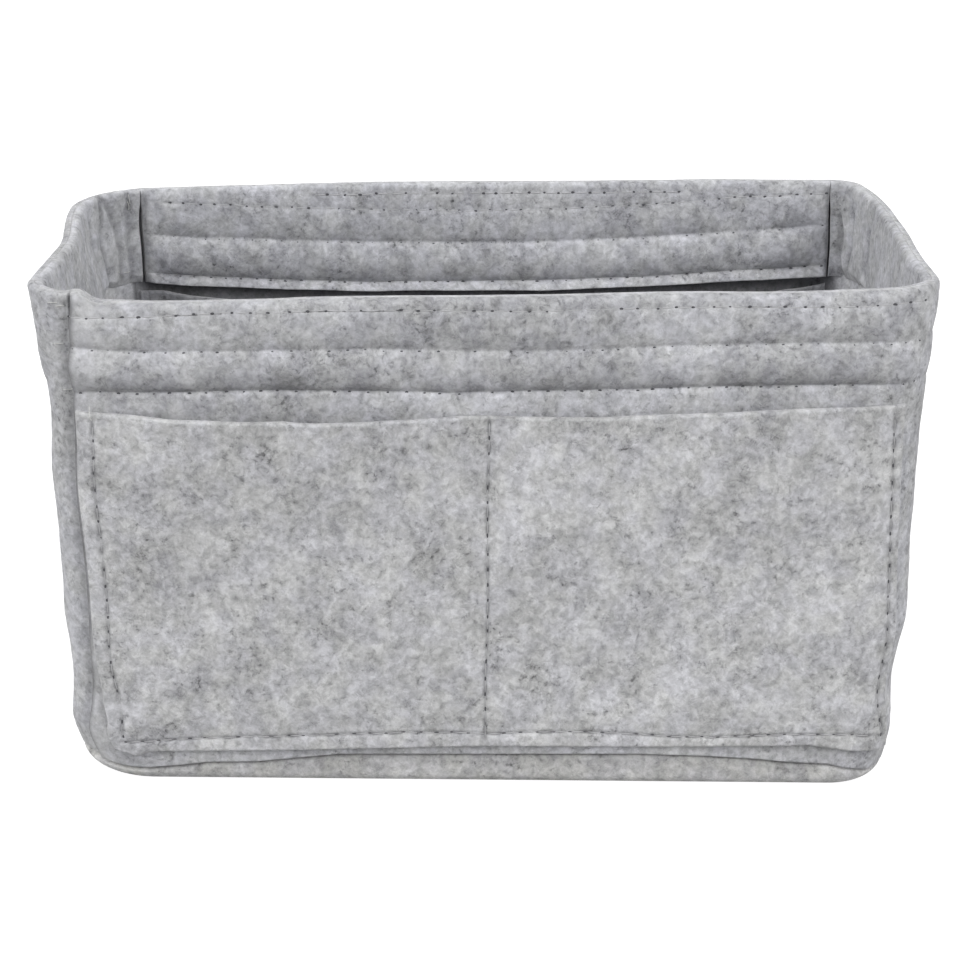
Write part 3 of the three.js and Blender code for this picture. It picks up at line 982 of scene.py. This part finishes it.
# Painted shade above each row of the wrap and of the facings, lowest row first
WRAP_SHADES = (0.5, 0.1, 0)
FACING_SHADES = (0.15, 0, 0)
EXTRA_ROW_RANGE = (332 * MM, 460 * MM)
CREASE_ASIDE = 1.6 * MM
SHADOW_ASIDE = 3 * MM
PALE_STRIP = 10 * MM
PALE_SHARE = 0.6
# Painted shade along the rolled rim, to tone down its highlight
ROLL_SHADE = 0.26
ROLL_SHADE_REACH = 2 * MM
# Painted shadow beside the lap's edge, fading out towards the floor
LAP_SHADE = 0.22
LAP_SHADE_REACH = 1.9 * MM
LAP_SHADE_RISE = (50 * MM, 90 * MM)
LAP_REST = 40 * MM
# Painted shade on the wall under the back facing's free edge
SLIT_DEPTH = 13 * MM
SLIT_TOP = 1.5 * MM
SLIT_SHADE = 0.8
SLIT_START = (270 * MM, 277 * MM)
SLIT_STOP = (522 * MM, 528 * MM)
POCKET_END = 525.6 * MM
WRAP_STEP = 2.2 * MM
LAP_COLUMNS = (-11 * MM, 3 * MM, 0.35 * MM)
# Lap: painted shade in the crease, a groove, and a painted shadow along the front end's cut edge
LAP_CREASE_AND_SHADE = {"line": 0.95, "groove": 1.6 * MM, "width": 1.6 * MM, "line_width": 1.25 * MM}
LAP_SHADOW = {"line": 0, "groove": 0.9 * MM, "width": 2.4 * MM}
LAP_CUT_SHADOW = {"line": 0.85, "groove": 0, "line_width": 1.4 * MM}
# Painted shade in gaps: between the facings, and beside a pocket's edge
CORNER_GAP_SHADE = {"line": 1.0, "groove": 0, "line_width": 2.4 * MM}
POCKET_GAP_SHADE = {"line": 0.9, "groove": 0, "line_width": 1.1 * MM}
WRAP_SEEDS = {"rows": 1, "bottom": 5, "puff": 31, "outside": 2, "inside": 3}


def faint_ends(least):
    """Share of a row's depth: less along the two end walls, where the felt is stretched round."""
    corners = [*RUN_STARTS[1:], RUN_STARTS[0] + LOOP]

    def share(distance):
        place = round_place(distance)
        right = window(place, corners[0:2], corners[2:4])
        left = window(place, corners[4:6], corners[6:8])
        return 1 - (1 - least) * (right + left)
    return share


def rim_rows(start, stop, seed, share, shades):
    """Rows of stitches round the rim between two places, lowest first."""
    ends = (start + RIM_MARGIN, stop - RIM_MARGIN)
    made = [
        Seam(*ends, row, seed + number, share=share, shade=shade, **style)
        for number, (row, style, shade) in enumerate(zip(rows, ROW_STYLES, shades))
    ]
    first, last = max(start, EXTRA_ROW_RANGE[0]), min(stop, EXTRA_ROW_RANGE[1])
    if last > first:
        made.append(Seam(first, last, extra_row, seed + EXTRA_ROW_SEED, **ROW_STYLES[-1]))
    return made


def crease(start, stop, curve, look):
    """Line up the wall without stitches: a fold, a gap or a cut edge, drawn as a groove and as painted shade
    as its look gives.
    """
    return Seam(start, stop, curve, 0, upright=True, dot=0, **look)


def rim_puff(seed, share, ends=()):
    """Padding between the rim rows, flat at the seams where facings meet."""
    def puff(distance, z):
        size = PUFF_HEIGHT * share(distance)
        for end in ends:
            size = size * smooth(np.abs(distance - end(z)), SEAM_EASE, PUFF_EASE)
        return puffed(distance, z, rows, rim, size, seed)
    return puff


RIM_LEVELS = [*zip(ROW_LEVELS, rows), (EXTRA_LEVEL, extra_row), (HEIGHT, rim)]
wrap_start, wrap_stop = LAP_EDGE, LAP_EDGE + LOOP + LAP_WIDTH
wrap_share = faint_ends(WRAP_WALL_SHARE)
wrap_rows = rim_rows(LAP_EDGE, LAP_EDGE + LOOP, WRAP_SEEDS["rows"], wrap_share, WRAP_SHADES)
wrap_bottom = Seam(RUN_STARTS[2], RUN_STARTS[-1], bottom_row, WRAP_SEEDS["bottom"],
                   share=faint_ends(BOTTOM_ROW_SHARE), **BOTTOM_ROW_STYLE)


def lap_crease_line(z):
    return lap_line(z) + LOOP - CREASE_ASIDE


def lap_shadow_line(z):
    return lap_line(z) + LOOP - SHADOW_ASIDE


def lap_strip(distance, z):
    """Pale pressed strip of the front end beside its cut edge."""
    return 1 - smooth(distance - lap_line(z), PALE_SHARE * PALE_STRIP, PALE_STRIP)


def wrap_shade(distance, z):
    """Painted shade along the rolled rim, which tones down its highlight, and a painted shadow beside the
    lap, which fades towards the floor.
    """
    rolled = ROLL_SHADE * fading(rim(distance) - z, ROLL_SHADE_REACH)
    beside = LAP_SHADE * bell(distance - lap_shadow_line(z), LAP_SHADE_REACH) * smooth(z, *LAP_SHADE_RISE)
    return np.maximum(rolled, beside)


def close_wedge(distance, z):
    """Extra thickness inside the front end that fills the space beyond the tail's own edge."""
    at_front = (distance < LAP_EDGE + LOOP / 2) * (near_front(distance) > LAP_EDGE + LAP_WIDTH)
    return np.clip(lining_inset(distance) - LAYER, 0, None) * at_front


# Crease with painted shade, groove beside the lap, and painted shadow at the front end's cut edge
lap_creases = [
    crease(WRAP_HEM, HEIGHT, lap_crease_line, LAP_CREASE_AND_SHADE),
    crease(WRAP_HEM, HEIGHT, lap_shadow_line, LAP_SHADOW),
    crease(WRAP_HEM, HEIGHT, lap_line, LAP_CUT_SHADOW),
]


def slit_shade(distance, z):
    """Painted shade on the wall under the free edge of the back facing."""
    low = facing_low(distance)
    under = smooth(z, low - SLIT_DEPTH, low - SLIT_TOP)
    return SLIT_SHADE * under * window(distance, SLIT_START, SLIT_STOP)


# Painted shade in the gaps between the facings at the back corners, and beside the inner back pocket's left
# edge
gap_shades = [
    crease(FACING_EDGE, HEIGHT, right_seam, CORNER_GAP_SHADE),
    crease(FACING_EDGE, HEIGHT, left_seam, CORNER_GAP_SHADE),
    crease(TRAY_RIM, FACING_EDGE, fixed(POCKET_END), POCKET_GAP_SHADE),
]
wrap = Sheet(
    [(wrap_start, lap_line), *((place, fixed(place)) for place in (wrap_start + LAP_REST, wrap_stop))],
    [(WRAP_HEM, hem), (BOTTOM_LEVEL, bottom_row), *RIM_LEVELS],
    lambda distance, z: LAYER * tail_ramp(distance - LOOP) + 0 * z,
    outside={"seams": [*wrap_rows, wrap_bottom, *lap_creases], "seed": WRAP_SEEDS["outside"],
             "puff": rim_puff(WRAP_SEEDS["puff"], wrap_share, [lap_crease_line]), "top_round": ROLL_ROUND,
             "pale": lap_strip, "shade": wrap_shade},
    inside={"seams": gap_shades, "seed": WRAP_SEEDS["inside"], "round": TOUCHING_ROUND,
            "puff": close_wedge, "shade": slit_shade},
)
wrap_levels = lines(WRAP_HEM, HEIGHT, WRAP_STEP, near_lines([*ROW_LEVELS, EXTRA_LEVEL, BOTTOM_LEVEL]))
lap_columns = np.arange(*LAP_COLUMNS) + LAP_EDGE + LOOP
wrap_object = wrap.build("body_wrap", "felt_wall", wrap_levels, columns=lap_columns)
for number, row in enumerate([*wrap_rows, wrap_bottom]):
    sew(f"wrap_stitches_{number + 1}", wrap, row)


# Facings and their seams
facings, facing_sheets = {}, {}
seam_curves = [fixed(FACING_SEAMS[0]), fixed(FACING_SEAMS[1]), right_seam, left_seam]

FACING_GAP = 1.1 * MM
GAP_CLOSED = 0.1 * MM
GAP_EASE = (HEIGHT - 10 * MM, HEIGHT - 3 * MM)
CORNER_SHADE_ASIDE = 1.2 * MM
CORNER_SHADE_TOP = HEIGHT - 4 * MM
FACING_FLARE = 2.2 * MM
FACING_PRESS = 1.7 * MM
# Painted shade over the whole inner face of the right and left facings
FACING_PAINTED_SHADE = {"right": 0.12, "left": 0.04}
FACING_STEP = 1.6 * MM
FLARE_START = (FACING_SEAMS[2] - 5 * MM, FACING_SEAMS[2])
FLARE_STOP = (FACING_SEAMS[3] - 3 * MM, FACING_SEAMS[3] + 3 * MM)
WRINKLES = {"left": LEFT_WRINKLES, "right": RIGHT_WRINKLES}
# Look of the folds, a groove with painted shade in it, and of the painted shade beside the corner seams
WRINKLE_AND_SHADE = {"line": 0.46, "groove": 1.3 * MM, "width": 2 * MM, "line_width": 1.3 * MM}
CORNER_SHADE = {"line": 0.5, "groove": 0.3 * MM, "line_width": 1.5 * MM}
OUTSIDE_SEED = 9

# Seeds of each facing's rows, padding and grain
FACING_SEEDS = {"front": (11, 35, 5), "right": (15, 37, 6), "back": (19, 39, 7), "left": (23, 41, 8)}


def moved(curve, distance, sign=0):
    """Curve moved along the wall, and aside by half the gap between two facings, which closes at the rim."""
    def there(z):
        gap = GAP_CLOSED + (FACING_GAP - GAP_CLOSED) * (1 - smooth(z, *GAP_EASE))
        return curve(z) + distance + sign * gap / 2
    return there


def below_row(distance, z):
    """Share of the way from the lowest row down to the free edge, and how much of it is the back facing's."""
    drop = np.clip((rows[0](distance) - z) / (rows[0](distance) - facing_low(distance)), 0, 1)
    return drop, window(round_place(distance), FLARE_START, FLARE_STOP)


def facing_flare(distance, z):
    """How far the free lower edge of the back facing stands off the wall."""
    drop, along = below_row(distance, z)
    return FACING_FLARE * drop * along


def facing_puff(puff):
    """Padding between the rows; the lower edge thins out towards the wall at the sides."""
    def both(distance, z):
        drop, along = below_row(distance, z)
        return puff(distance, z) - FACING_PRESS * smooth(drop, 0, 1) * (1 - along)
    return both


def level_shade(value):
    """The same painted shade everywhere on a face."""
    return lambda distance, z: value + 0 * distance * z


def facing_creases(word):
    """Folds in the facings of the two ends, with painted shade in them, and the painted shade beside the back
    facing's corner seams.
    """
    if word == "back":
        return [
            crease(FACING_EDGE, CORNER_SHADE_TOP, moved(curve, aside), CORNER_SHADE)
            for curve, aside in ((right_seam, CORNER_SHADE_ASIDE), (left_seam, -CORNER_SHADE_ASIDE))
        ]
    return [
        crease(knots[0][0] * MM, knots[-1][0] * MM, upright(knots), WRINKLE_AND_SHADE)
        for knots in WRINKLES.get(word, ())
    ]


for side, (word, seeds) in enumerate(FACING_SEEDS.items()):
    rows_seed, puff_seed, grain_seed = seeds
    following = (side + 1) % SIDES
    turn = LOOP if following == 0 else 0
    start = FACING_SEAMS[side] + LAYER_GAP / 2
    stop = FACING_SEAMS[following] + turn - LAYER_GAP / 2
    share = fixed(FACING_WALL_SHARE if word in WRINKLES else 1)
    side_rows = rim_rows(start, stop, rows_seed, share, FACING_SHADES)
    puff = rim_puff(puff_seed, share, [seam_curves[side], moved(seam_curves[following], turn)])
    facing = Sheet(
        [(start, moved(seam_curves[side], 0, 1)), (stop, moved(seam_curves[following], turn, -1))],
        [(FACING_EDGE, facing_low), *RIM_LEVELS],
        lambda distance, z: lining_inset(distance) - LAYER_GAP + facing_flare(distance, z),
        outside={"seed": OUTSIDE_SEED, "round": TOUCHING_ROUND},
        inside={"seams": side_rows + facing_creases(word), "seed": grain_seed, "top_round": ROLL_ROUND,
                "puff": facing_puff(puff), "shade": level_shade(FACING_PAINTED_SHADE.get(word, 0))},
    )
    levels = lines(FACING_EDGE, HEIGHT, FACING_STEP, near_lines([*ROW_LEVELS, EXTRA_LEVEL]))
    facing_sheets[word] = facing
    facings[word] = facing.build(f"rim_facing_{word}", "felt_lining", levels)
    for number, row in enumerate(side_rows):
        sew(f"rim_stitches_{word}_{number + 1}", facing, row, inside=True)


# Pocket panels
SEAM_TO_EDGE = 3 * MM
SEAM_PRESS = 0.5 * MM
SEAM_TOP = 1.5 * MM
# Painted shade under the rim facing on the inner panels' upper part
MOUTH_SHADE = 0.6
MOUTH_SHADE_REACH = 16 * MM
LIP_SHADE = 0.2
LIP_REACH = 0.4 * MM
PRESS_EASE = 9 * MM
POCKET_STEP = STEP * 1.5
# The dark lines and needle holes of the pocket seams are painted shade
UPRIGHT_STYLE = {"upright": True, "line": 0.75, "width": 0.7 * MM, "line_width": 0.62 * MM,
                 "dot_length": 1.2 * MM, "dot_width": 0.55 * MM}
LOW_STYLE = {"line": 0.85, "width": 0.8 * MM, "line_width": 0.5 * MM, "dot_length": 1.1 * MM,
             "dot_width": 0.36 * MM}


class Pocket:
    """Pocket panel of equal sections on one wall, and the seams that hold it on."""

    def __init__(self, name, middle, width, bulges, mouth, hem_line, seed, inward, uprights=None):
        self.name, self.seed, self.inward = name, seed, inward
        self.slot = "felt_lining" if inward else "felt_pocket"
        self.width, self.bulges = width, bulges
        self.low = INNER_POCKET_HEM if inward else OUTER_POCKET_HEM
        self.high = INNER_POCKET_TOP if inward else OUTER_POCKET_TOP
        self.mouth, self.hem_line = round_loop(mouth), round_loop(hem_line)
        start, stop = middle - width / 2, middle + width / 2
        self.places = (start, start + SEAM_TO_EDGE, middle, stop - SEAM_TO_EDGE, stop)
        self.uprights = uprights or [fixed(place) for place in self.places]

    def bulge(self, distance, z):
        first, _, centre, _, last = (curve(z) for curve in self.uprights)
        left = (distance - first) / (centre - first)
        right = (distance - centre) / (last - centre)
        on_left = distance < centre
        share = np.clip(np.where(on_left, left, right), 0, 1)
        growth = np.clip((z - self.low) / (self.high - self.low), 0, 1) ** BULGE_POWER
        return np.where(on_left, self.bulges[0], self.bulges[1]) * np.sin(math.pi * share) * growth

    def pressed(self, distance, z):
        """How far the panel is pressed into the wall beside its seams."""
        first, left, _, right, last = (curve(z) for curve in self.uprights)
        sides = np.minimum(distance - left, right - distance)
        away = np.minimum(sides, z - bottom_row(distance))
        return SEAM_PRESS * (1 - smooth(away, 0, PRESS_EASE))

    def inset(self, distance, z):
        if not self.inward:
            return self.pressed(distance, z) - LAYER - self.bulge(distance, z)
        over_tray = 1 - smooth(z, TRAY_RIM + LAP_MARGIN, TRAY_RIM + LAP_MARGIN + TRAY_STEP)
        return lining_inset(distance) + LAYER * over_tray + self.bulge(distance, z)

    def lip_shade(self, distance, z):
        """Slightly darker cut edge along the mouth."""
        return LIP_SHADE * fading(self.mouth(distance) - z, LIP_REACH)

    def mouth_shade(self, distance, z):
        """Painted shade from the rim facing on the upper part of an inner panel, and the darker cut edge
        along the mouth.
        """
        mouth = self.mouth(distance)
        under_rim = self.inward * MOUTH_SHADE * smooth(z, mouth - MOUTH_SHADE_REACH, mouth)
        return np.maximum(under_rim, self.lip_shade(distance, z))

    def build(self):
        seams = [
            Seam(BOTTOM_LEVEL, self.high - SEAM_TOP, curve, self.seed + number, **UPRIGHT_STYLE)
            for number, curve in enumerate(self.uprights[1:-1])
        ]
        first, last = (float(curve(BOTTOM_LEVEL)) for curve in self.uprights[1:-1:2])
        seams.append(Seam(first, last, bottom_row, self.seed + len(self.uprights), **LOW_STYLE))
        face = {"seams": seams, "seed": self.seed, "top_round": EDGE_ROUND, "shade": self.mouth_shade}
        plain = {"seed": self.seed + 1, "top_round": EDGE_ROUND, "shade": self.lip_shade}
        sheet = Sheet(
            list(zip(self.places, self.uprights)),
            [(self.low, self.hem_line), (BOTTOM_LEVEL, bottom_row), (self.high, self.mouth)],
            self.inset,
            outside=plain if self.inward else face,
            inside=face if self.inward else plain,
        )
        levels = lines(self.low, self.high, STEP, near_lines([BOTTOM_LEVEL]))
        columns = near_lines(self.places[1:-1])
        obj = sheet.build(self.name, self.slot, levels, POCKET_STEP, columns)
        for number, seam in enumerate(seams):
            sew(f"{self.name}_stitches_{number + 1}", sheet, seam, inside=self.inward)
        return obj


front_uprights = [upright(knots) for knots in (
    POCKET_LEFT_EDGE, POCKET_LEFT_SEAM, POCKET_MIDDLE_SEAM, POCKET_RIGHT_SEAM, POCKET_RIGHT_EDGE)]
inner_back_uprights = [
    *(fixed(distance * MM) for distance in INNER_BACK_OTHERS),
    upright(INNER_BACK_LEFT_SEAM),
    upright(INNER_BACK_LEFT_EDGE),
]
pockets = [
    Pocket("front_pocket_panel", OUTER_POCKET_SHIFT, OUTER_POCKET_WIDTH, FRONT_POCKET_BULGES,
           FRONT_MOUTH, FRONT_POCKET_LOW, 41, False, front_uprights),
    Pocket("back_pocket_panel", BACK_MIDDLE, OUTER_POCKET_WIDTH, BACK_POCKET_BULGES,
           BACK_MOUTH, BACK_POCKET_LOW, 43, False),
    Pocket("inner_front_pocket_panel", 0.0, INNER_POCKET_WIDTH, INNER_POCKET_BULGES,
           INNER_FRONT_MOUTH, INNER_LOW, 45, True),
    Pocket("inner_back_pocket_panel", BACK_MIDDLE + INNER_BACK_SHIFT, INNER_BACK_WIDTH, INNER_POCKET_BULGES,
           INNER_BACK_MOUTH, INNER_LOW, 47, True, inner_back_uprights),
]
pocket_objects = [pocket.build() for pocket in pockets]


# Base tray
TRAY_COLUMNS = 900
TRAY_BEND_STEPS = 8
TRAY_RIM_STEPS = 26
TRAY_WAVE = (0.15 * MM, 61, 45 * MM)
# Painted shadow of the wrap's hem on the tray's fold
HEM_SHADE = 0.5
HEM_SHADE_REACH = 2.2 * MM

# The flat middle of the tray is closed by rings that shrink towards it
TRAY_SHARES = np.array([0.8, 0.5, 0.2, 0])


def base_tray():
    """Felt base: its fold stands flush with the wrap under the hem, and its rim goes up inside the wrap."""
    distance = (LAP_EDGE + np.arange(TRAY_COLUMNS) * LOOP / TRAY_COLUMNS)[:, None]
    lining = lining_inset(distance)
    hem_here = hem(distance)
    turns = np.linspace(0, QUARTER, TRAY_BEND_STEPS + 1)

    def ring(depth, z):
        stepped = smooth(z, hem_here - TRAY_STEP_IN, hem_here)
        inset = TRAY_FOLD_INSET + (lining - TRAY_FOLD_INSET) * stepped + depth
        soft = TRAY_WAVE[0] * wave(distance, 0 * distance, *TRAY_WAVE[1:]) * float(smooth(z, 0, TRAY_BEND))
        return wall_point(distance, z + 0 * distance, inset + soft)[0][:, 0]

    rings = [ring(TRAY_BEND * (1 - math.sin(t)), TRAY_BEND * (1 - math.cos(t))) for t in turns]
    upright_levels = np.linspace(TRAY_BEND, TRAY_RIM, TRAY_RIM_STEPS)
    rings += [ring(0, z) for z in upright_levels[1:]]
    rings += [ring(FELT, z) for z in upright_levels[::-1]]
    inner_bend = TRAY_BEND - FELT
    rings += [
        ring(TRAY_BEND - inner_bend * math.sin(t), FELT + inner_bend * (1 - math.cos(t)))
        for t in turns[-2::-1]
    ]
    points = np.stack(rings, axis=1)
    under = points[:, :1] * TRAY_SHARES[::-1][None, :, None]
    under[..., 2] = 0
    above = points[:, -1:] * TRAY_SHARES[None, :, None]
    above[..., 2] = FELT
    points = np.concatenate([under, points, above], axis=1)
    index = np.arange(points.shape[0] * points.shape[1]).reshape(points.shape[:2])
    after = np.roll(index, -1, axis=0)
    quads = faces(index[:, :-1], after[:, :-1], after[:, 1:], index[:, 1:])
    outer = slice(len(TRAY_SHARES), len(TRAY_SHARES) + TRAY_BEND_STEPS + TRAY_RIM_STEPS)
    # Painted shadow under the hem, on the outer rings only
    shade = np.zeros(points.shape[:2])
    under_hem = fading(hem_here - points[:, outer, 2], HEM_SHADE_REACH)
    shade[:, outer] = HEM_SHADE * under_hem * between_corners(distance)
    attributes = {"sewn": shade.ravel()}
    obj = mesh_object("base_tray", points.reshape(-1, 3), quads, "felt_base", attributes)
    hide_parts("base_tray")
    return obj


tray = base_tray()


# Loose and bridging threads
STRAND_STEPS = 24
STRAND_EASE = 2


def strand(name, sheet, knots, inside=False):
    """Pale thread over a sheet, through knots of distance, height and lift in mm."""
    distance, z, lift = (np.array(column) * MM for column in zip(*knots))
    at = np.linspace(0, 1, len(knots))
    fine = np.linspace(0, 1, STRAND_STEPS)
    bend = [np.interp(fine, at, values) for values in (distance, z, lift)]
    kernel = np.full(2 * STRAND_EASE + 1, 1 / (2 * STRAND_EASE + 1))
    bend = [np.convolve(np.pad(values, STRAND_EASE, mode="edge"), kernel, mode="valid") for values in bend]
    points, outward = sheet.surface(bend[0], bend[1], inside)
    return tube(name, points + outward * bend[2][:, None], outward, STRAND_RADIUS, "pale_thread")


END_IN_MM = (LAP_EDGE + LOOP) / MM

# Distance, height and lift of each short thread, in mm, those of the lap from the wrap's edge on
LAP_STITCHES = (
    ((-5.8, 158.4, 0), (-4, 158.7, 0.4), (-2, 158.8, 0)),
    ((-3, 157.5, 0), (-1.6, 157.8, 0.3), (0.2, 157.9, 0.4)),
    ((-6.8, 145.3, 0), (-5.2, 145.6, 0.4), (-3.4, 145.5, 0)),
    ((-7, 130.6, 0), (-5.4, 130.9, 0.4), (-3.9, 131, 0)),
    ((-4.4, 131.1, 0), (-2.4, 131.4, 0.5), (-0.6, 131.7, 0.5)),
)
THREAD_TAIL = ((-119.9, 128.4, 0.3), (-119.4, 126.8, 2.6), (-119.2, 125.8, 3.6), (-118.8, 124.6, 3.4))
for number, knots in enumerate(LAP_STITCHES):
    moved_knots = [(END_IN_MM + along, height, lift) for along, height, lift in knots]
    strand(f"lap_stitch_{number + 1}", wrap, moved_knots)
CORNER_STITCHES = (
    ((534.9, 132.7, 0), (533.6, 132.3, 0.4), (532, 131.7, 0)),
    ((530.6, 131.4, 0), (529.2, 131.4, 0.4), (527.6, 131.2, 0)),
    ((522.2, 158.9, 0.1), (522.4, 157, 0.6), (522.3, 155.3, 0.1)),
    ((523, 156.4, 0.1), (522.9, 154.8, 0.5), (523.1, 153.2, 0.1)),
)
for number, knots in enumerate(CORNER_STITCHES):
    strand(f"corner_stitch_{number + 1}", facing_sheets["left"], knots, inside=True)
strand("thread_tail", wrap, THREAD_TAIL)


# Turn round the loop of each facing, which nothing uses
for side, (word, obj) in enumerate(facings.items()):
    turn = LOOP if side == SIDES - 1 else 0


# Floor, light and camera
FLOOR_SIZE = 4.0
FLOOR_TONE = (0.3, 0.3, 0.3, 1)
FLOOR_GLOW = 0.9
WHITE = (1, 1, 1, 1)
FLOOR_FINISH = {"Base Color": FLOOR_TONE, "Roughness": 1.0, "Specular IOR Level": 0.0,
                "Emission Color": WHITE, "Emission Strength": FLOOR_GLOW}
SKY = 0.57
GROUND = 0.36
SKY_BLEND = {"From Min": -0.15, "From Max": 0.05, "To Min": GROUND, "To Max": SKY}
LAMP_SPREAD = math.radians(50)

# Strength, azimuth from the front to the right, and elevation of each broad light, in degrees
LAMPS = {"lamp_right": (1.48, 47, 37), "lamp_left": (1.74, -66, 37), "lamp_back": (0.9, 180, 20)}


def stage():
    """White light table and soft sky."""
    mesh = bpy.data.meshes.new("floor")
    size = FLOOR_SIZE
    mesh.from_pydata([(-size, -size, 0), (size, -size, 0), (size, size, 0), (-size, size, 0)], [], [range(4)])
    mesh.materials.append(Nodes("floor", FLOOR_FINISH).material)
    floor = placed("floor", mesh)
    floor.visible_diffuse = False
    world = bpy.data.worlds.new("studio")
    bpy.context.scene.world = world
    world.use_nodes = True
    nodes, links = world.node_tree.nodes, world.node_tree.links
    split = nodes.new("ShaderNodeSeparateXYZ")
    blend = nodes.new("ShaderNodeMapRange")
    links.new(nodes.new("ShaderNodeTexCoord").outputs["Generated"], split.inputs["Vector"])
    links.new(split.outputs["Z"], blend.inputs["Value"])
    for socket, value in SKY_BLEND.items():
        blend.inputs[socket].default_value = value
    links.new(blend.outputs["Result"], nodes["Background"].inputs["Strength"])
    nodes["Background"].inputs["Color"].default_value = WHITE


def lamp(name, strength, azimuth, elevation):
    """Broad light from one side and above."""
    data = bpy.data.lights.new(name, "SUN")
    data.energy = strength
    data.angle = LAMP_SPREAD
    placed(name, data).rotation_euler = (QUARTER - math.radians(elevation), 0, math.radians(azimuth))


FOCAL_PIXELS = 2283
IMAGE_LONG_SIDE = 971
SENSOR = 36
CLIP_START = 10 * MM
CAMERA_PITCH = math.radians(21.25)
CAMERA_YAW = math.radians(-1.09)
CAMERA_PLACE = np.array([14.37, -719.74, 352.98]) * MM


def camera():
    """Camera at the place that the object was seen from."""
    data = bpy.data.cameras.new("camera")
    data.sensor_width = SENSOR
    data.lens = FOCAL_PIXELS / IMAGE_LONG_SIDE * SENSOR
    data.clip_start = CLIP_START
    obj = placed("camera", data)
    obj.location = Vector(CAMERA_PLACE + SHIFT)
    obj.rotation_euler = (QUARTER - CAMERA_PITCH, 0, -CAMERA_YAW)
    bpy.context.scene.camera = obj


stage()
for name, light in LAMPS.items():
    lamp(name, *light)
camera()
bpy.context.scene.view_settings.view_transform = "Standard"
